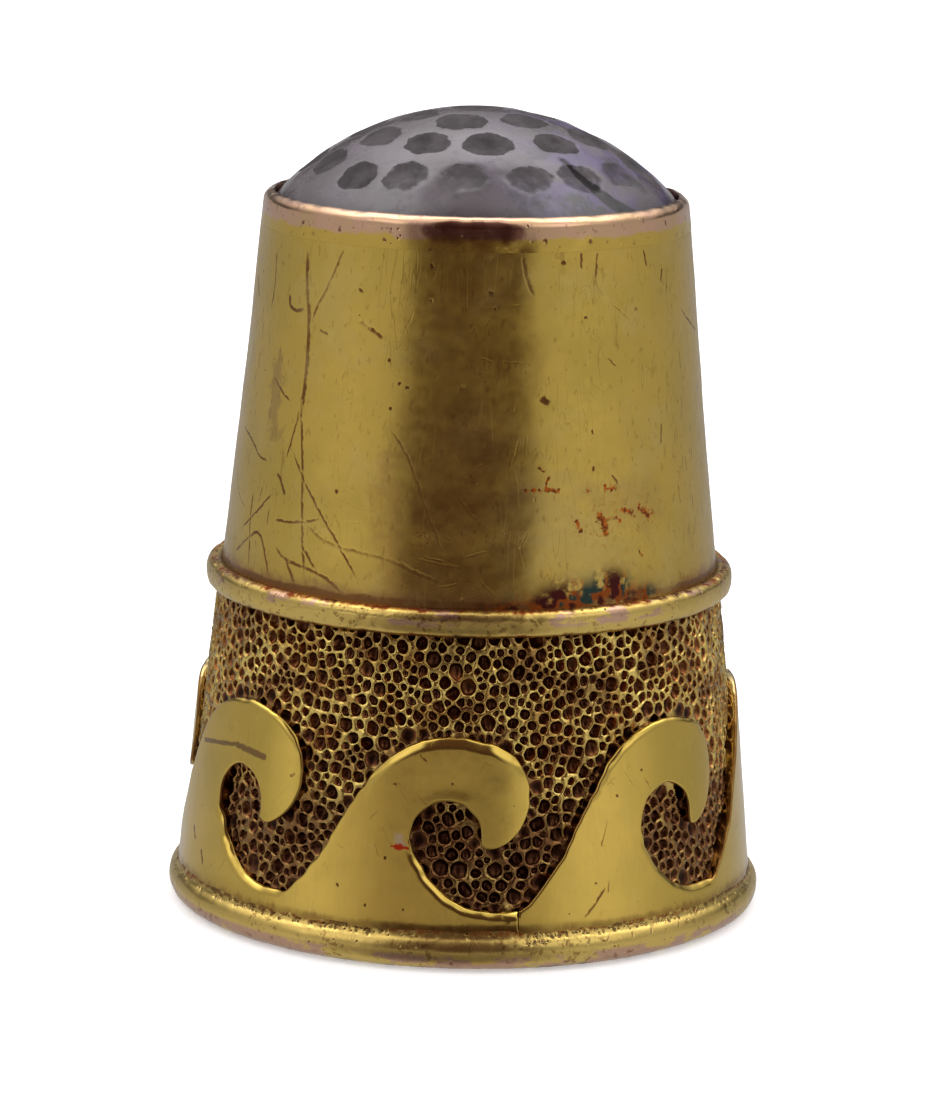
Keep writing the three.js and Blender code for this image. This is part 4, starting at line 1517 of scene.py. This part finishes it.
def amethyst_dome():
    columns = 560
    rows = 150
    edge = math.asin(STONE_GIRDLE / STONE_SPHERE)
    polar = np.linspace(edge, 0.004, rows)[:, None] * np.ones((1, columns))
    theta = (np.arange(columns) * TURN / columns)[None, :] * np.ones((rows, 1))
    direction = np.stack(
        [np.sin(polar) * np.sin(theta), -np.sin(polar) * np.cos(theta), np.cos(polar)], -1
    )
    bowl = dimple_field(direction)
    flaw = flaw_field(direction)
    sphere = STONE_SPHERE - DIMPLE_DEPTH * bowl**2 - FLAW_DEPTH * flaw - STONE_WEAR
    sphere += 0.004 * waviness(theta, polar * 7.5, 91, 1.6, 24, 5.0) * np.sin(polar) ** 0.5
    points = direction * sphere[..., None] + [0, 0, STONE_CENTRE]
    low = STONE_LOW.z
    girdle = [(0.3, low), (STONE_GIRDLE - 0.12, low), (STONE_GIRDLE, low + 0.12)]
    base = [round_axis(np.full(columns, r), theta[0], z) for r, z in girdle]
    flat = np.concatenate([*base, points.reshape(-1, 3), [(0, 0, low)], [points[-1].mean(0)]])
    faces = ring_faces([i * columns for i in range(rows + 3)], columns)
    last = (rows + 2) * columns
    centre = (rows + 3) * columns
    for j in range(columns):
        k = (j + 1) % columns
        faces.append([centre, k, j])
        faces.append([centre + 1, last + j, last + k])
    blank = np.zeros(3 * columns)
    layers = {
        "pit": np.concatenate([blank, smooth(0.0, 0.7, bowl).ravel(), [0, 1]]),
        "flaw": np.concatenate([blank, flaw.ravel(), [0, 0]]),
    }
    made = piece("amethyst_stone", flat, faces, layers)
    made.data.materials.append(stone_material())
    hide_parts("amethyst_dome")


def stone_seat():
    low, high = SEAT_LOW.z, SEAT_HIGH.z
    outer = SEAT_HIGH.x
    section = np.concatenate(
        [
            resample([(outer, low), (outer - 0.04, high)], 0.1)[:-1],
            resample([(outer - 0.04, high), (4.97, high)], 0.1)[:-1],
            resample([(4.97, high), (4.97, low + 0.15)], 0.06)[:-1],
            arc(5.12, low + 0.15, 180, 270, 8, 0.15),
        ]
    )
    relief = lambda theta, radius, z: -np.abs(0.006 * waviness(theta, z, 95, 0.8))
    made = turned("stone_ledge_gold", section, 480, relief)
    made.data.materials.append(inside_material())
    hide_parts("stone_seat")


def cement_bed():
    low, high = CEMENT_LOW.z, CEMENT_HIGH.z
    outer = CEMENT_HIGH.x - 0.02
    corners = [(outer, low), (outer, high), (5.0, high), (5.0, low), (outer - 0.08, low)]
    relief = lambda theta, radius, z: 0.02 * (waviness(theta, z, 97, 0.5) - 1) * (radius < 5.1)
    made = turned("cement_ring", resample(corners, 0.05), 480, relief)
    made.data.materials.append(cement_material())
    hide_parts("cement_bed")


# ---------------------------------------------------------------- stage and light
def floor():
    """A pale floor that sweeps up all round. Shiny metal looks past it, into the
    studio's surroundings."""
    rings = [(0.0, 0.0), (2.2, 0.0), (2.8, 0.08), (3.2, 0.30), (3.4, 0.75), (3.45, 1.3)]
    columns = 64
    theta = np.arange(columns) * TURN / columns
    points = [[(0, 0, 0)]]
    for radius, height in rings[1:]:
        points.append(round_axis(np.full(columns, radius), theta, height))
    faces = [[1 + j, 1 + (j + 1) % columns, 0] for j in range(columns)]
    faces += ring_faces([1 + i * columns for i in range(len(rings) - 1)], columns)
    mesh = bpy.data.meshes.new("floor")
    mesh.from_pydata(np.concatenate(points).tolist(), [], faces)
    made = bpy.data.objects.new("floor", mesh)
    bpy.context.scene.collection.objects.link(made)
    made.visible_glossy = False
    g = Look("pale_floor", (0.90, 0.90, 0.90))
    g.paint((0.93, 0.93, 0.93), g.noise(0.02, 2.0))
    g.put(g.shader.inputs["Emission Color"], (1.0, 1.0, 1.0))
    g.shader.inputs["Emission Strength"].default_value = 0.35
    made.data.materials.append(g.finish(0.8, None, 0.0))


def world():
    """Studio surroundings: a big soft light behind, grey sides and a dark gap in front.
    All limits are in degrees, round the axis from the front or up from level."""
    made = bpy.data.worlds.new("studio")
    bpy.context.scene.world = made
    made.use_nodes = True
    g = Nodes(made.node_tree)
    coordinates = g.node("TexCoord").outputs["Generated"]
    x, y, z = g.node("SeparateXYZ", {0: coordinates}).outputs
    azimuth = g.math("ARCTAN2", x, g.math("MULTIPLY", y, -1))
    around = g.math("ABSOLUTE", azimuth)
    elevation = g.math("ARCSINE", z)
    degrees = math.pi / 180

    def rise(value, low, full, *levels):
        return g.step(value, low * degrees, full * degrees, *levels)

    def band(value, low, full, fade, gone):
        return g.times(rise(value, low, full), rise(value, fade, gone, 1.0, 0.0))

    gap = g.times(band(azimuth, -40, -28, 23, 35), band(elevation, -3.2, -1.2, 70, 84))
    table = g.times(band(elevation, -11, -8, -3.4, -1.6), rise(around, 55, 95, 1.0, 0.0))
    under = rise(elevation, -13, -9, 1.0, 0.0)
    level = g.plus(rise(around, 75, 150, 0.51, 0.40), g.times(table, 0.36), g.times(under, 0.12))
    level = g.plus(level, rise(elevation, 14, 30, 0.0, 0.12), rise(elevation, 45, 62, 0.0, 0.45))
    behind = g.times(rise(around, 95, 125), band(elevation, 4, 8, 14, 22), -0.75)
    level = g.times(level, g.plus(1.0, behind))
    box = g.times(band(elevation, 22, 62, 67, 78), rise(around, 65, 100))
    left, right = band(azimuth, -80, -58, -46, -36), band(azimuth, 30, 40, 58, 82)
    sides = g.plus(g.times(left, 0.8), g.times(right, 0.70))
    sides = g.times(sides, band(elevation, 14, 26, 42, 56), 0.9)
    level = g.plus(level, g.times(box, 2.0), sides)
    dim = g.times(band(azimuth, -68, -26, 14, 50), rise(elevation, -3.4, -1.6, 1.0, 0.0))
    shade = g.plus(g.times(table, 0.49), g.times(under, rise(elevation, -75, -45, 0.3, 0.66)))
    level = g.times(level, g.plus(1.0, g.times(dim, shade, -1.0)))
    warm = g.mix(g.times(dim, 0.5), (1.0, 0.985, 1.0), (0.82, 0.66, 0.62))
    colour = g.mix(gap, warm, (0.160, 0.095, 0.105))
    scaled = g.node("VectorMath", {0: colour, "Scale": level}, operation="SCALE")
    background = g.node("Background", {0: scaled.outputs[0], 1: 1.0})
    g.node("OutputWorld", {0: background.outputs[0]})


foot_bead()
upper_bead()
body_sleeve()
strip_edge = strip_outline()
wave_frieze(strip_edge)
stippled_band(strip_edge)
bezel_collar()
amethyst_dome()
stone_seat()
cement_bed()
floor()
world()
bpy.context.scene.view_settings.view_transform = "Standard"
